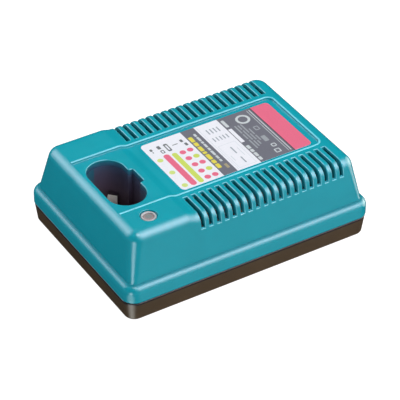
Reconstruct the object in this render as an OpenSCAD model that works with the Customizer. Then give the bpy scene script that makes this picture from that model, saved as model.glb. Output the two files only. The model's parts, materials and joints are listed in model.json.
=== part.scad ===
// Desktop battery charger for stem-type tool packs.
// +X runs toward the label end, -X is the socket end, +Z is up.
// The origin is at the centre of the underside, on the plane the feet stand on.

/* [Housing] */
// Overall length, measured over the skirt of the upper housing
overall_l = 190; // [184:1:196]
// Overall width, measured over the skirt of the upper housing
overall_w = 137; // [133:1:141]
// Height of the top surface at the socket end, feet included; the bead stands a little higher
overall_h = 63; // [60:0.5:66]
// Drop from the socket zone to the vent and label zone
step_drop = 1.8; // [1:0.1:2.4]
// Height of the parting line between the two housings
seam_z = 16.6; // [16:0.1:18]
// Height at which the skirt starts to round over
skirt_z = 27.5; // [26:0.5:29]
// How far the body sits in from the skirt edge
skirt_step = 3.9; // [3.4:0.1:4.4]
// Wall thickness of the upper housing
wall = 2.5; // [2:0.1:2.8]
// Radius of the rounded top edges
top_r = 8; // [6:0.5:9]
// Depth of the sunk centre panel
panel_d = 1.5; // [1:0.1:1.8]
// Half width of the sunk centre panel, inside its bead
panel_hw = 31.8; // [31.4:0.1:32.2]

/* [Vents] */
// Number of slots on each long side
vent_n = 19; // [8:1:19]
// Distance from one slot to the next
vent_pitch = 6.02; // [5.5:0.01:6.02]
// Width of a slot
vent_w = 2.75; // [2:0.05:3]
// Height of the lower end of the slots on the side wall
vent_z = 51; // [48:0.5:53]

/* [Battery socket] */
// Centre of the socket along the length
well_x = -64.3; // [-65:0.1:-64]
// Width of the socket opening
well_w = 27; // [26.4:0.1:27.4]
// Length of the socket opening
well_l = 53.2; // [52:0.1:54]
// Width of the keyway
key_w = 15.2; // [12:0.1:16]
// Depth of the keyway
key_d = 3.3; // [2.5:0.1:3.4]
// Height of the socket floor
floor_z = 19; // [18.6:0.1:19.4]
// Width of a contact blade
blade_w = 7; // [6:0.1:7.2]

/* [Lamp] */
// Lamp centre along the length
lamp_x = -65; // [-66:0.1:-64]
// Lamp centre across the width
lamp_y = -43.3; // [-44:0.1:-43]
// Outer radius of the bright ring
ring_r = 5.1; // [4.9:0.1:5.2]

/* [Cord entry] */
// Radius of the hole through the cord gland
gland_r = 3.6; // [3:0.1:4]

/* [Circuit] */
// Left edge of the circuit board
board_x0 = -42; // [-43:0.5:-41]
// Right edge of the circuit board
board_x1 = 74; // [73:0.5:74.5]
// Half width of the circuit board
board_hw = 50; // [49.5:0.5:50.5]

/* [Hidden] */
$fn = 64;
e = 0.02;
foot_z = 1;
hl = overall_l/2;
hw = overall_w/2;
low_z = overall_h - step_drop;
ramp_x0 = -43.2;
ramp_x1 = -37.8;
panel_x0 = -80.9;
panel_x1 = 76.6;
ceil_z = low_z - wall;
well_r = well_w/2;
well_c = well_l/2 - well_r;
tube_t = 2.2;
tube_z = 56.4;
ear_z = 46;
bead_h = 0.35;
lip_z = skirt_z - 4.25 + 5.9*sin(70);
fin_d = 4;
holder_z0 = 12;
pivot_z = 16.2;
pivot_r = 12;
blade_a = 42;
board_z = 9;
board_t = 1.6;
bt = board_z + board_t;
shell_screws = [[-80, -52], [-80, 52], [80, -52], [80, 52]];
board_screw_at = [[-36, -44], [-36, 44], [68, -44], [68, 44]];
foot_at = [[-64, -50], [-64, 50], [64, -50], [64, 50]];
ear_at = [[well_x + 13.8, 27.5], [well_x - 13.8, -27.5]];
lamp_boss = [-59, -48.6];
// contacts: [sign of Y, angle around the rounded end of the socket]
c_pos = [1, blade_a];
c_neg = [-1, blade_a];
c_sen = [1, 180 - blade_a];

// body half length and half width at a height
function bx(z) = hl - skirt_step - (z - skirt_z)*5.05/35.5;
function by(z) = hw - skirt_step - (z - skirt_z)*6.3/35.5;
// centre of a rounding sphere that touches the sloping side and the top
kx = 0.868;
ky = 0.84;
// points along an arc
function arc(cx, cy, r, a0, a1, n) = [for (i = [0:n]) [cx + r*cos(a0 + (a1 - a0)*i/n), cy + r*sin(a0 + (a1 - a0)*i/n)]];

// ---------- shared shapes ----------
// flat rounded rectangle, half sizes x and y
module rrect(x, y, r) {
    square([2*(x - r), 2*y], center = true);
    square([2*x, 2*(y - r)], center = true);
    for (sx = [-1, 1]) for (sy = [-1, 1]) translate([sx*(x - r), sy*(y - r)]) circle(r = r);
}
// straight rounded block
module rblock(x, y, r, z0, z1) translate([0, 0, z0]) linear_extrude(z1 - z0) rrect(x, y, r);
// closed slab whose edge follows a half profile, swept round a rounded rectangle
// pts: profile points from the corner axis outward; rc: their outermost reach
module slab(x, y, rc, pts, z0, z1) {
    for (sx = [-1, 1]) for (sy = [-1, 1]) translate([sx*(x - rc), sy*(y - rc), 0]) rotate_extrude() polygon(pts);
    for (sy = [-1, 1]) translate([-(x - rc), sy*(y - rc), 0]) rotate([90, 0, 90]) linear_extrude(2*(x - rc)) scale1(sy) polygon(pts);
    for (sx = [-1, 1]) translate([sx*(x - rc), y - rc, 0]) rotate([90, 0, 0]) linear_extrude(2*(y - rc)) scale1(sx) polygon(pts);
    translate([-(x - rc), -(y - rc), z0]) cube([2*(x - rc), 2*(y - rc), z1 - z0]);
}
module scale1(s) { if (s < 0) mirror([1, 0]) children(); else children(); }
// obround, long in Y, centred on the socket
module obround(r, z0, z1) {
    for (s = [-1, 1]) translate([well_x, s*well_c, z0]) cylinder(r = r, h = z1 - z0, $fn = 96);
    translate([well_x - r, -well_c, z0]) cube([2*r, 2*well_c, z1 - z0]);
}
// sloping body with rounded edges
module body(zb, zt, x0, x1, in, rb, rt) {
    hull() {
        for (sy = [-1, 1]) {
            translate([x0 + rb + in, sy*(by(zb) - rb - in), zb]) cylinder(r = rb, h = 0.1, $fn = 32);
            translate([x1 - rb - in, sy*(by(zb) - rb - in), zb]) cylinder(r = rb, h = 0.1, $fn = 32);
            translate([-(bx(zt) - in - kx*rt), sy*(by(zt) - in - ky*rt), zt - rt]) sphere(r = rt, $fn = 32);
            translate([bx(zt) - in - kx*rt, sy*(by(zt) - in - ky*rt), zt - rt]) sphere(r = rt, $fn = 32);
            for (sx = [-1, 1]) translate([sx*(bx(zt) - in - rt), sy*(by(zt) - in - rt), zt - 0.1]) cylinder(r = 0.6, h = 0.1, $fn = 32);
        }
    }
}
// the higher block at the socket end, with its ramp
module high_zone() {
    zt = overall_h;
    hull() for (sy = [-1, 1]) {
        translate([-(bx(skirt_z) - 6), sy*(by(skirt_z) - 6), skirt_z]) cylinder(r = 5, h = 0.1, $fn = 32);
        translate([-(bx(zt) - kx*top_r), sy*(by(zt) - ky*top_r), zt - top_r]) sphere(r = top_r, $fn = 32);
        translate([-(bx(zt) - top_r), sy*(by(zt) - top_r), zt - 0.1]) cylinder(r = 0.6, h = 0.1, $fn = 32);
        translate([ramp_x0 - 1, sy*(by(zt) - ky*top_r), zt - top_r]) rotate([0, 90, 0]) cylinder(r = top_r, h = 1, $fn = 32);
        translate([ramp_x1 - 1, sy*(by(zt) - ky*top_r), low_z - top_r]) rotate([0, 90, 0]) cylinder(r = top_r, h = 1, $fn = 32);
        translate([ramp_x1 - 1, sy*(by(skirt_z) - 6), skirt_z]) cylinder(r = 1, h = 0.1, $fn = 32);
    }
}
// pan head screw pointing up; z is the underside of the head
module screw_up(r, head_r, head_h, z, len) {
    difference() {
        union() {
            translate([0, 0, z - head_h]) cylinder(r = head_r, h = head_h);
            translate([0, 0, z - e]) cylinder(r = r, h = len);
        }
        translate([-head_r*0.62, -head_r*0.13, z - head_h - e]) cube([head_r*1.24, head_r*0.26, head_h*0.55]);
        translate([-head_r*0.13, -head_r*0.62, z - head_h - e]) cube([head_r*0.26, head_r*1.24, head_h*0.55]);
    }
}
// round wire on a smooth curve through a list of points
function cr(a, b, c, d, t) = 0.5*(2*b + (c - a)*t + (2*a - 5*b + 4*c - d)*t*t + (3*b - a - 3*c + d)*t*t*t);
function smooth(p, n) = concat([for (i = [0:len(p) - 2]) for (j = [0:n - 1])
    cr(p[max(i - 1, 0)], p[i], p[i + 1], p[min(i + 2, len(p) - 1)], j/n)], [p[len(p) - 1]]);
function unit(v) = v/norm(v);
module wire(p, r, n = 5, k = 10) {
    q = smooth(p, n);
    m = len(q);
    ref = unit([0.36, 0.79, -0.11]);
    pts = [for (i = [0:m - 1]) let (
            t = unit(q[min(i + 1, m - 1)] - q[max(i - 1, 0)]), u = unit(cross(t, ref)), v = cross(t, u))
        for (j = [0:k - 1]) q[i] + r*(u*cos(360*j/k) + v*sin(360*j/k))];
    sides = [for (i = [0:m - 2]) for (j = [0:k - 1]) [i*k + j, (i + 1)*k + j, (i + 1)*k + (j + 1)%k, i*k + (j + 1)%k]];
    polyhedron(pts, concat([[for (j = [0:k - 1]) j]], sides, [[for (j = [k - 1:-1:0]) (m - 1)*k + j]]));
}
// places a piece at the rounded end of the socket: local X along the wall, local Y outward
module at_end(c) translate([well_x, c[0]*well_c, 0]) rotate([0, 0, c[0]*c[1] - 90]) children();

// ---------- housings ----------
module lip_profile_slab() {
    rc = 9.5;
    pts = concat([[0, seam_z], [rc - 1.1, seam_z]], arc(rc - 1.1, seam_z + 0.6, 0.6, -90, 0, 3),
        arc(rc - 5.9, skirt_z - 4.25, 5.9, 0, 70, 7), [[0, lip_z]]);
    slab(hl, hw, rc, pts, seam_z, lip_z);
}
module vents() {
    for (i = [0:vent_n - 1]) for (s = [-1, 1])
        translate([-33.7 + i*vent_pitch - vent_w/2, s > 0 ? 36.9 : -80, vent_z]) cube([vent_w, 43.1, 20]);
}
module panel_cut() {
    intersection() {
        translate([0, 60, 0]) rotate([90, 0, 0]) linear_extrude(120)
            polygon([[-110, overall_h - panel_d], [ramp_x0, overall_h - panel_d], [ramp_x1, low_z - panel_d],
                [110, low_z - panel_d], [110, overall_h + 10], [-110, overall_h + 10]]);
        translate([0, 0, 40]) linear_extrude(60) panel_plan(0);
    }
}
// outline of the sunk panel, moved outward by o: square corners beside the socket, round ones at the other end
module panel_plan(o) {
    translate([(panel_x0 + panel_x1)/2, 0]) rrect((panel_x1 - panel_x0)/2 + o, panel_hw + o, 4.6 + o);
    translate([panel_x0 - o, -panel_hw - o]) square([20, 2*(panel_hw + o)]);
}
// raised bead round the panel; it follows the top surface
module panel_bead() {
    intersection() {
        translate([0, 60, 0]) rotate([90, 0, 0]) linear_extrude(120)
            polygon([[-110, 59], [110, 59], [110, low_z + bead_h], [ramp_x1, low_z + bead_h],
                [ramp_x0, overall_h + bead_h], [-110, overall_h + bead_h]]);
        translate([0, 0, 40]) linear_extrude(60) difference() {
            panel_plan(1.35);
            panel_plan(-0.5);
            translate([-140, -90]) square([140 + panel_x0 + 0.4, 180]);
        }
    }
}
// fins that stiffen the bars between the slots
module vent_fins() {
    difference() {
        for (i = [0:vent_n - 2]) for (s = [-1, 1])
            translate([-33.7 + (i + 0.5)*vent_pitch - 0.75, s > 0 ? 34.9 : -75, 49.5]) cube([1.5, 40.1, 12]);
        body(19, ceil_z - fin_d, -bx(24), bx(24), wall + fin_d, 4, 6);
    }
}
module top_housing() color([0.05, 0.55, 0.6]) {
    difference() {
        union() {
            difference() {
                union() {
                    lip_profile_slab();
                    body(24, low_z, -bx(24), bx(24), 0, 5, top_r);
                    high_zone();
                    panel_bead();
                }
                difference() {
                    union() {
                        body(19, ceil_z, -bx(24), bx(24), wall, 4, 6);
                        rblock(hl - 3, hw - 3, 6.5, seam_z - 1, skirt_z - 2.6);
                    }
                    // thicker ceiling under the sunk panel
                    translate([-100, -panel_hw - 1.6, ceil_z - panel_d]) cube([182, 2*panel_hw + 3.2, 5]);
                    // posts for the housing screws
                    for (p = shell_screws) translate([p[0], p[1], seam_z + 0.9]) cylinder(r = 4, h = 50);
                    // posts for the terminal holder
                    for (p = ear_at) translate([p[0], p[1], ear_z]) cylinder(r = 3.5, h = 40);
                    vent_fins();
                    // post for the lamp board
                    translate([lamp_boss[0], lamp_boss[1], 52]) cylinder(r = 2.4, h = 10);
                    // socket tube with its keyway box
                    obround(well_r + tube_t, tube_z, 60);
                    translate([well_x, -key_w/2 - tube_t, tube_z]) cube([well_r + key_d + tube_t, key_w + 2*tube_t, 36]);
                }
            }
        }
        panel_cut();
        vents();
        // socket opening and keyway
        obround(well_r, tube_z - 1, 80);
        translate([well_x, -key_w/2, tube_z - 1]) cube([well_r + key_d, key_w, 60]);
        // lamp hole with its seat
        translate([lamp_x, lamp_y, 50]) cylinder(r = 4.6, h = 30);
        translate([lamp_x, lamp_y, overall_h - 2.1]) cylinder(r = 5.9, h = 30);
        // pilot holes
        for (p = shell_screws) translate([p[0], p[1], seam_z]) cylinder(r = 1.52, h = 14);
        for (p = ear_at) translate([p[0], p[1], ear_z - 1]) cylinder(r = 1.32, h = 11);
        translate([lamp_boss[0], lamp_boss[1], 51]) cylinder(r = 0.92, h = 6);
        // seat for the cord gland
        translate([hl - 6, 0, seam_z]) rotate([0, 90, 0]) cylinder(r = 6.05, h = 10);
        translate([hl - 1.2, 0, seam_z]) rotate([0, 90, 0]) cylinder(r = 7.6, h = 5);
    }
}
module base_housing() color([0.16, 0.12, 0.11]) {
    x = hl - 0.4;
    y = hw - 0.4;
    rc = 9.1;
    tp = 1.6;
    z1 = seam_z - 0.7;
    pts = concat([[0, foot_z]], arc(rc - tp - 2, foot_z + 2, 2, -90, -6, 6), [[rc, z1 - 0.5], [rc - 0.5, z1], [0, z1]]);
    difference() {
        union() {
            difference() {
                union() {
                    slab(x, y, rc, pts, foot_z, z1);
                    // tongue that enters the skirt
                    rblock(hl - 3.2, hw - 3.2, 6.3, z1 - 1, seam_z + 2.4);
                }
                rblock(hl - 4.4, hw - 4.4, 5.1, foot_z + 2.5, seam_z + 5);
            }
            // columns for the housing screws
            for (p = shell_screws) translate([p[0], p[1], foot_z + 1]) cylinder(r = 5, h = seam_z + 0.9 - foot_z - 1);
            // standoffs for the circuit board
            for (p = board_screw_at) translate([p[0], p[1], foot_z + 1]) cylinder(r = 3.5, h = board_z - foot_z - 1);
        }
        for (p = shell_screws) {
            translate([p[0], p[1], 0]) cylinder(r = 1.8, h = 30);
            translate([p[0], p[1], 0]) cylinder(r = 3.3, h = 6);
        }
        for (p = board_screw_at) translate([p[0], p[1], foot_z + 2.6]) cylinder(r = 1.27, h = 10);
        for (p = foot_at) translate([p[0], p[1], 0]) cylinder(r = 7.1, h = foot_z + 1);
        // seat for the cord gland
        translate([hl - 20, 0, seam_z]) rotate([0, 90, 0]) cylinder(r = 7.7, h = 17);
        translate([hl - 6, 0, seam_z]) rotate([0, 90, 0]) cylinder(r = 6.05, h = 10);
        translate([hl - 1.2, 0, seam_z]) rotate([0, 90, 0]) cylinder(r = 7.6, h = 5);
    }
}
module rubber_feet() color([0.1, 0.1, 0.1])
    for (p = foot_at) translate([p[0], p[1], 0]) {
        rotate_extrude() polygon(concat([[0, 0]], arc(7 - 0.5, 0.5, 0.5, -90, 0, 4), [[7, foot_z + 1], [0, foot_z + 1]]));
    }
module housing_screws() color([0.75, 0.76, 0.78])
    for (p = shell_screws) translate([p[0], p[1], 0]) screw_up(1.5, 2.9, 2.2, 6, 20);
module cord_gland() color([0.1, 0.1, 0.1])
    translate([hl, 0, seam_z]) rotate([0, -90, 0]) difference() {
        union() {
            cylinder(r = 7.5, h = 1.2);
            translate([0, 0, 0.5]) cylinder(r = 6, h = 4);
            translate([0, 0, 3.0]) cylinder(r = 7.4, h = 1.8);
            translate([0, 0, 4]) cylinder(r = 5.2, h = 7);
        }
        translate([0, 0, -1]) cylinder(r = gland_r, h = 20);
    }

// ---------- socket bottom and contacts ----------
module terminal_holder() color([0.12, 0.1, 0.11])
    difference() {
        union() {
            obround(well_r + tube_t, holder_z0, tube_z);
            translate([well_x, -key_w/2 - tube_t, holder_z0]) cube([well_r + key_d + tube_t, key_w + 2*tube_t, tube_z - holder_z0]);
            for (p = ear_at) {
                translate([p[0], p[1], ear_z - 4]) cylinder(r = 4.2, h = 4);
                translate([(p[0] + well_x)/2 + (p[0] > well_x ? 2 : -2), (p[1] > 0 ? 1 : -1)*20.5, ear_z - 2]) rotate([0, 0, 46]) cube([14, 6, 4], center = true);
            }
        }
        obround(well_r, floor_z, tube_z + 1);
        translate([well_x, -key_w/2, floor_z]) cube([well_r + key_d, key_w, 40]);
        for (p = ear_at) translate([p[0], p[1], ear_z - 8]) cylinder(r = 1.5, h = 12);
        // relief behind each contact blade
        for (c = [c_pos, c_neg, c_sen]) at_end(c) translate([-4.1, pivot_r, 23]) cube([8.2, 2.4, 13]);
        // pockets for the blades and slits for the tags
        for (c = [c_pos, c_neg, c_sen]) at_end(c) {
            translate([-4.1, pivot_r - 2.6, pivot_z - 1.0]) cube([8.2, 4.1, 10]);
            translate([-3.05, pivot_r - 0.45, 5]) cube([6.1, 0.9, 20]);
        }
    }
module holder_screws() color([0.75, 0.76, 0.78])
    for (p = ear_at) translate([p[0], p[1], 0]) screw_up(1.3, 2.6, 2, ear_z - 4, 13);
module tag(c) color([0.83, 0.72, 0.42])
    at_end(c) difference() {
        translate([-3, pivot_r - 0.4, 7]) cube([6, 0.8, pivot_z - 1.2 - 7]);
        translate([0, pivot_r + 5, 9]) rotate([90, 0, 0]) cylinder(r = 0.9, h = 10);
    }
module positive_terminal() tag(c_pos);
module negative_terminal() tag(c_neg);
module sense_terminal() tag(c_sen);
// sprung blade: a leaf that leans into the socket and turns back at its tip
module blade(c) color([0.9, 0.85, 0.68])
    at_end(c) {
        translate([-blade_w/2, 0, 0]) rotate([90, 0, 90]) linear_extrude(blade_w)
            polygon([[pivot_r - 0.3, pivot_z], [pivot_r - 1.95, 30.5], [pivot_r - 1.75, 31.9], [pivot_r - 1.05, 34.5],
                [pivot_r - 0.45, 34.4], [pivot_r - 1.1, 31.9], [pivot_r - 1.3, 30.5], [pivot_r + 0.3, pivot_z]]);
        translate([-blade_w/2, pivot_r, pivot_z]) rotate([0, 90, 0]) cylinder(r = 0.6, h = blade_w, $fn = 24);
    }
module positive_contact() blade(c_pos);
module negative_contact() blade(c_neg);
module sense_contact() blade(c_sen);

// ---------- lamp ----------
module lamp_ring() color([0.85, 0.86, 0.88])
    translate([lamp_x, lamp_y, 0]) difference() {
        translate([0, 0, overall_h - 2.1]) cylinder(r = ring_r, h = 1.6);
        translate([0, 0, 50]) cylinder(r = 3.8, h = 20);
        translate([0, 0, overall_h - 1.1]) cylinder(r1 = 3.6, r2 = 4.4, h = 0.8);
    }
module lamp_lens() color([0.55, 0.5, 0.52])
    translate([lamp_x, lamp_y, 0]) {
        translate([0, 0, ceil_z - 0.3]) cylinder(r = 4.5, h = 1.4);
        translate([0, 0, ceil_z - 0.3]) cylinder(r = 3.76, h = overall_h - ceil_z - 0.7);
    }
module charge_led() color([0.8, 0.2, 0.15])
    translate([lamp_x, lamp_y, 0]) {
        translate([0, 0, 52]) cylinder(r = 2.9, h = 1);
        translate([0, 0, 52]) cylinder(r = 2.5, h = 3.4);
        translate([0, 0, 55.4]) sphere(r = 2.5);
    }
module lamp_board() color([0.15, 0.35, 0.2])
    difference() {
        translate([lamp_x - 9, lamp_y - 8.4, 50.4]) cube([18, 16, 1.6]);
        translate([lamp_boss[0], lamp_boss[1], 45]) cylinder(r = 1.1, h = 10);
    }
module lamp_board_screw() color([0.75, 0.76, 0.78])
    translate([lamp_boss[0], lamp_boss[1], 0]) screw_up(0.9, 2, 1.5, 50.4, 6);
module lamp_leads() color([0.75, 0.15, 0.12])
    for (k = [0, 1]) wire([[-58 - 2.5*k, -38, 50.4], [-58 - 2.5*k, -38, 42], [-50 - 1.5*k, -41, 30],
        [-45 - 1.5*k, -44 - 3*k, 18], [-40.5, -45.6 - 2.6*k, 15], [-38.5, -46.2 - 3*k, 13.4], [-38.5, -46.2 - 3*k, bt]], 0.6);

// ---------- label ----------
module instruction_label() color([0.93, 0.93, 0.96])
    translate([20.9, 0, low_z - panel_d]) linear_extrude(0.2) rrect(51.1, 28.6, 3);

// ---------- circuit ----------
module insulation_sheet() color([0.8, 0.75, 0.6])
    difference() {
        translate([-43, -47, foot_z + 2.5]) cube([116, 94, 0.4]);
        for (p = board_screw_at) translate([p[0], p[1], 0]) cylinder(r = 3.8, h = 10);
    }
module circuit_board() color([0.55, 0.42, 0.2])
    difference() {
        translate([board_x0, -board_hw, board_z]) cube([board_x1 - board_x0, 2*board_hw, board_t]);
        for (p = board_screw_at) translate([p[0], p[1], 5]) cylinder(r = 1.5, h = 10);
    }
module board_screws() color([0.75, 0.76, 0.78])
    for (p = board_screw_at) translate([p[0], p[1], bt]) mirror([0, 0, 1]) screw_up(1.25, 2.6, 1.8, 0, 6);
module mains_connector() color([0.92, 0.92, 0.88])
    difference() {
        translate([60, -8, bt]) cube([11, 16, 9]);
        for (s = [-1, 1]) translate([66, s*4, bt + 4.5]) rotate([0, 90, 0]) cylinder(r = 1.6, h = 10);
    }
module fuse() color([0.85, 0.88, 0.85]) {
    translate([54, -31, bt + 5]) rotate([-90, 0, 0]) cylinder(r = 2.3, h = 20);
    for (y = [-32, -17]) translate([54, y, bt + 5]) rotate([-90, 0, 0]) cylinder(r = 2.6, h = 6);
}
module fuse_clips() color([0.83, 0.72, 0.42])
    for (y = [-31.4, -16.6]) difference() {
        union() {
            translate([54, y, bt + 5]) rotate([-90, 0, 0]) cylinder(r = 3.1, h = 4.8);
            translate([50.9, y, bt]) cube([6.2, 4.8, 5]);
        }
        translate([54, y - 1, bt + 5]) rotate([-90, 0, 0]) cylinder(r = 2.62, h = 8);
        translate([51.5, y - 1, bt + 0.6]) cube([5, 8, 3]);
        translate([51.4, y - 1, bt + 6.4]) cube([5.2, 8, 5]);
    }
module suppression_capacitor() color([0.9, 0.75, 0.2])
    translate([63, 29.3, bt]) linear_extrude(18) rrect(5, 11.5, 0.8);
module line_choke_core() color([0.25, 0.25, 0.27])
    translate([41, 33, bt + 2.2]) difference() {
        cylinder(r = 11.5, h = 8);
        translate([0, 0, -1]) cylinder(r = 7.2, h = 10);
    }
module line_choke_winding() color([0.72, 0.42, 0.18])
    translate([41, 33, 0]) for (a = [-60:15:60]) for (s = [0, 180]) rotate([0, 0, a + s]) translate([9.35, 0, bt + 6.2]) difference() {
        cube([6.9, 1.3, 10.6], center = true);
        cube([4.34, 3, 8.04], center = true);
    }
module bridge_rectifier() color([0.13, 0.13, 0.14]) {
    translate([33, 6, bt + 4]) cube([22, 4, 15]);
    for (i = [0:3]) translate([36.2 + i*5.2, 7.4, bt]) cube([1.2, 0.8, 4.2]);
}
module primary_capacitor() color([0.1, 0.14, 0.3])
    translate([12, 34, bt]) rotate_extrude() polygon(concat([[0, 0]], arc(11.5, 1, 1, -90, 0, 4), [[12.5, 3.4], [12, 4], [12.5, 4.6]],
        arc(11.2, 38.7, 1.3, 0, 90, 4), [[10, 39.4], [0, 39.4]]));
module transformer_core() color([0.2, 0.2, 0.22])
    difference() {
        translate([-17, -7.5, bt + 3]) cube([42, 15, 34]);
        for (x = [-10.5, 10]) translate([x, -10, bt + 9]) cube([8.5, 20, 22]);
    }
module transformer_bobbin() color([0.1, 0.1, 0.1])
    difference() {
        union() {
            translate([-3.4, -9, bt + 9.1]) cube([14.8, 18, 21.8]);
            for (z = [bt + 9.1, bt + 29.7]) translate([-10.4, -15.5, z]) cube([28.8, 31, 1.2]);
            for (s = [-1, 1]) translate([-10.4, s > 0 ? 8 : -16, bt]) cube([28.8, 8, 9.2]);
        }
        translate([-2.1, -7.6, bt]) cube([12.2, 15.2, 50]);
    }
module transformer_winding() color([0.85, 0.7, 0.15])
    translate([4, 0, bt + 10.5]) difference() {
        linear_extrude(19) rrect(14.1, 15.2, 3);
        translate([-7.45, -9.05, -1]) cube([14.9, 18.1, 30]);
        for (s = [-1, 1]) translate([s > 0 ? 14.2 : -34.2, -20, -1]) cube([20, 40, 30]);
    }
// plate with feet and a power device screwed on
module sink(x0, x1, h) difference() {
    union() {
        translate([x0, -44, bt]) cube([x1 - x0, 2.4, h]);
        for (x = [x0 : 6 : x1 - 1.2]) translate([x, -47.6, bt + 4]) cube([1.2, 4, h - 4]);
    }
    translate([(x0 + x1)/2, -60, bt + 25]) rotate([-90, 0, 0]) cylinder(r = 1.52, h = 30);
}
module device(xc) {
    difference() {
        union() {
            translate([xc - 5, -41.6, bt + 11]) cube([10, 1.3, 17]);
            translate([xc - 5, -41.6, bt + 11]) cube([10, 4.4, 9.4]);
        }
        translate([xc, -60, bt + 25]) rotate([-90, 0, 0]) cylinder(r = 1.7, h = 30);
    }
    for (i = [-1, 0, 1]) translate([xc + i*2.54 - 0.4, -39.2, bt]) cube([0.8, 0.5, 11.2]);
}
module transistor_heatsink() color([0.7, 0.72, 0.74]) sink(16, 54, 34);
module switching_transistor() color([0.13, 0.13, 0.14]) device(35);
module diode_heatsink() color([0.7, 0.72, 0.74]) sink(-30, -4, 30);
module output_diode() color([0.13, 0.13, 0.14]) device(-17);
module heatsink_screws() color([0.75, 0.76, 0.78])
    for (x = [35, -17]) translate([x, -40.3, bt + 25]) rotate([90, 0, 0]) {
        cylinder(r = 1.5, h = 6.5);
        translate([0, 0, -1.8]) cylinder(r = 2.7, h = 1.8);
    }
module output_capacitors() color([0.1, 0.14, 0.3])
    for (y = [16, 31]) translate([-31, y, bt]) rotate_extrude() polygon(concat([[0, 0]], arc(5.8, 0.7, 0.7, -90, 0, 3), [[6.5, 2.6], [6.1, 3], [6.5, 3.4]],
        arc(5.7, 24.2, 0.8, 0, 90, 3), [[0, 25]]));
module output_relay() color([0.9, 0.45, 0.1])
    translate([-31, -11, bt]) linear_extrude(15) rrect(9.5, 7.7, 0.8);
module dip(x, y, n) {
    l = n/2*2.54;
    translate([x - l/2, y - 3.2, bt + 0.5]) cube([l, 6.4, 3.4]);
    for (i = [0:n/2 - 1]) for (s = [-1, 1]) translate([x - l/2 + 1.27 + i*2.54 - 0.5, y + (s > 0 ? 3.1 : -4.1), bt]) cube([1, 1, 2.4]);
}
module control_chip() color([0.1, 0.1, 0.11]) dip(6, -28, 16);
module optocoupler() color([0.93, 0.93, 0.9]) dip(25, -28, 4);
module resistors() color([0.75, 0.62, 0.42])
    for (x = [33, 37, 41, 45]) translate([x, -31.5, bt + 1.6]) rotate([-90, 0, 0]) {
        cylinder(r = 1.2, h = 7);
        translate([0, 0, -0.2]) cylinder(r = 1.45, h = 1.6);
        translate([0, 0, 5.6]) cylinder(r = 1.45, h = 1.6);
        for (z = [-2.4, 7.1]) translate([0, 0, z]) cylinder(r = 0.35, h = 2.3);
        for (z = [-2.4, 9.4 - 0.7]) translate([-0.35, 0, z]) cube([0.7, 1.6, 0.7]);
    }
module disc_capacitors() color([0.2, 0.4, 0.75])
    for (p = [[66, 15.5], [28, 18]]) translate([p[0], p[1], bt + 6.5]) {
        rotate([90, 0, 0]) translate([0, 0, -1.5]) cylinder(r = 4.5, h = 3);
        for (s = [-1, 1]) translate([s*2.5 - 0.3, -0.3, -6.5]) cube([0.6, 0.6, 4]);
    }

// ---------- leads to the socket ----------
// end of a lead at the tag of a contact: outer face of the tag, just above its eye
function tag_at(c, z) = let (a = c[0]*c[1], r = pivot_r + 1.55) [well_x + r*cos(a), c[0]*well_c + r*sin(a), z];
module positive_lead() color([0.75, 0.1, 0.1]) {
    t = tag_at(c_pos, 7.6);
    wire([[board_x0 + 2.2, 37.5, bt], [board_x0 + 2.2, 37.5, 14], [board_x0 - 1.8, 36, 14.6], [board_x0 - 3.2, 32, 10], [t[0] + 3.4, t[1] + 3.4, 7.9], [t[0], t[1], 7.7], [t[0], t[1], 10.6]], 0.9);
}
module negative_lead() color([0.1, 0.1, 0.1]) {
    t = tag_at(c_neg, 7.6);
    wire([[board_x0 + 2.2, -29, bt], [board_x0 + 2.2, -29, 14], [board_x0 - 1.8, -28, 14.6], [board_x0 - 3.2, -26, 10], [t[0] + 3.4, t[1] - 2.4, 7.9], [t[0], t[1], 7.7], [t[0], t[1], 10.6]], 0.9);
}
module sense_lead() color([0.85, 0.8, 0.2]) {
    t = tag_at(c_sen, 7.6);
    wire([[board_x0 + 2.2, 44.4, bt], [board_x0 + 2.2, 44.4, 14], [board_x0 - 1.8, 44.4, 14.6], [board_x0 - 6, 42, 10], [t[0] + 8, t[1] + 12, 7.9], [t[0], t[1], 7.7], [t[0], t[1], 10.6]], 0.9);
}

top_housing();
base_housing();
terminal_holder();
holder_screws();
positive_terminal();
negative_terminal();
sense_terminal();
positive_contact();
negative_contact();
sense_contact();
lamp_ring();
lamp_lens();
charge_led();
lamp_board();
lamp_board_screw();
lamp_leads();
instruction_label();
rubber_feet();
housing_screws();
cord_gland();
insulation_sheet();
circuit_board();
board_screws();
mains_connector();
fuse();
fuse_clips();
suppression_capacitor();
line_choke_core();
line_choke_winding();
bridge_rectifier();
primary_capacitor();
transformer_core();
transformer_bobbin();
transformer_winding();
switching_transistor();
transistor_heatsink();
output_diode();
diode_heatsink();
heatsink_screws();
output_capacitors();
output_relay();
control_chip();
optocoupler();
resistors();
disc_capacitors();
positive_lead();
negative_lead();
sense_lead();
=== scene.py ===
import json
import math

import bmesh
import bpy
from mathutils import Matrix, Vector
from mathutils.geometry import delaunay_2d_cdt


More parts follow.
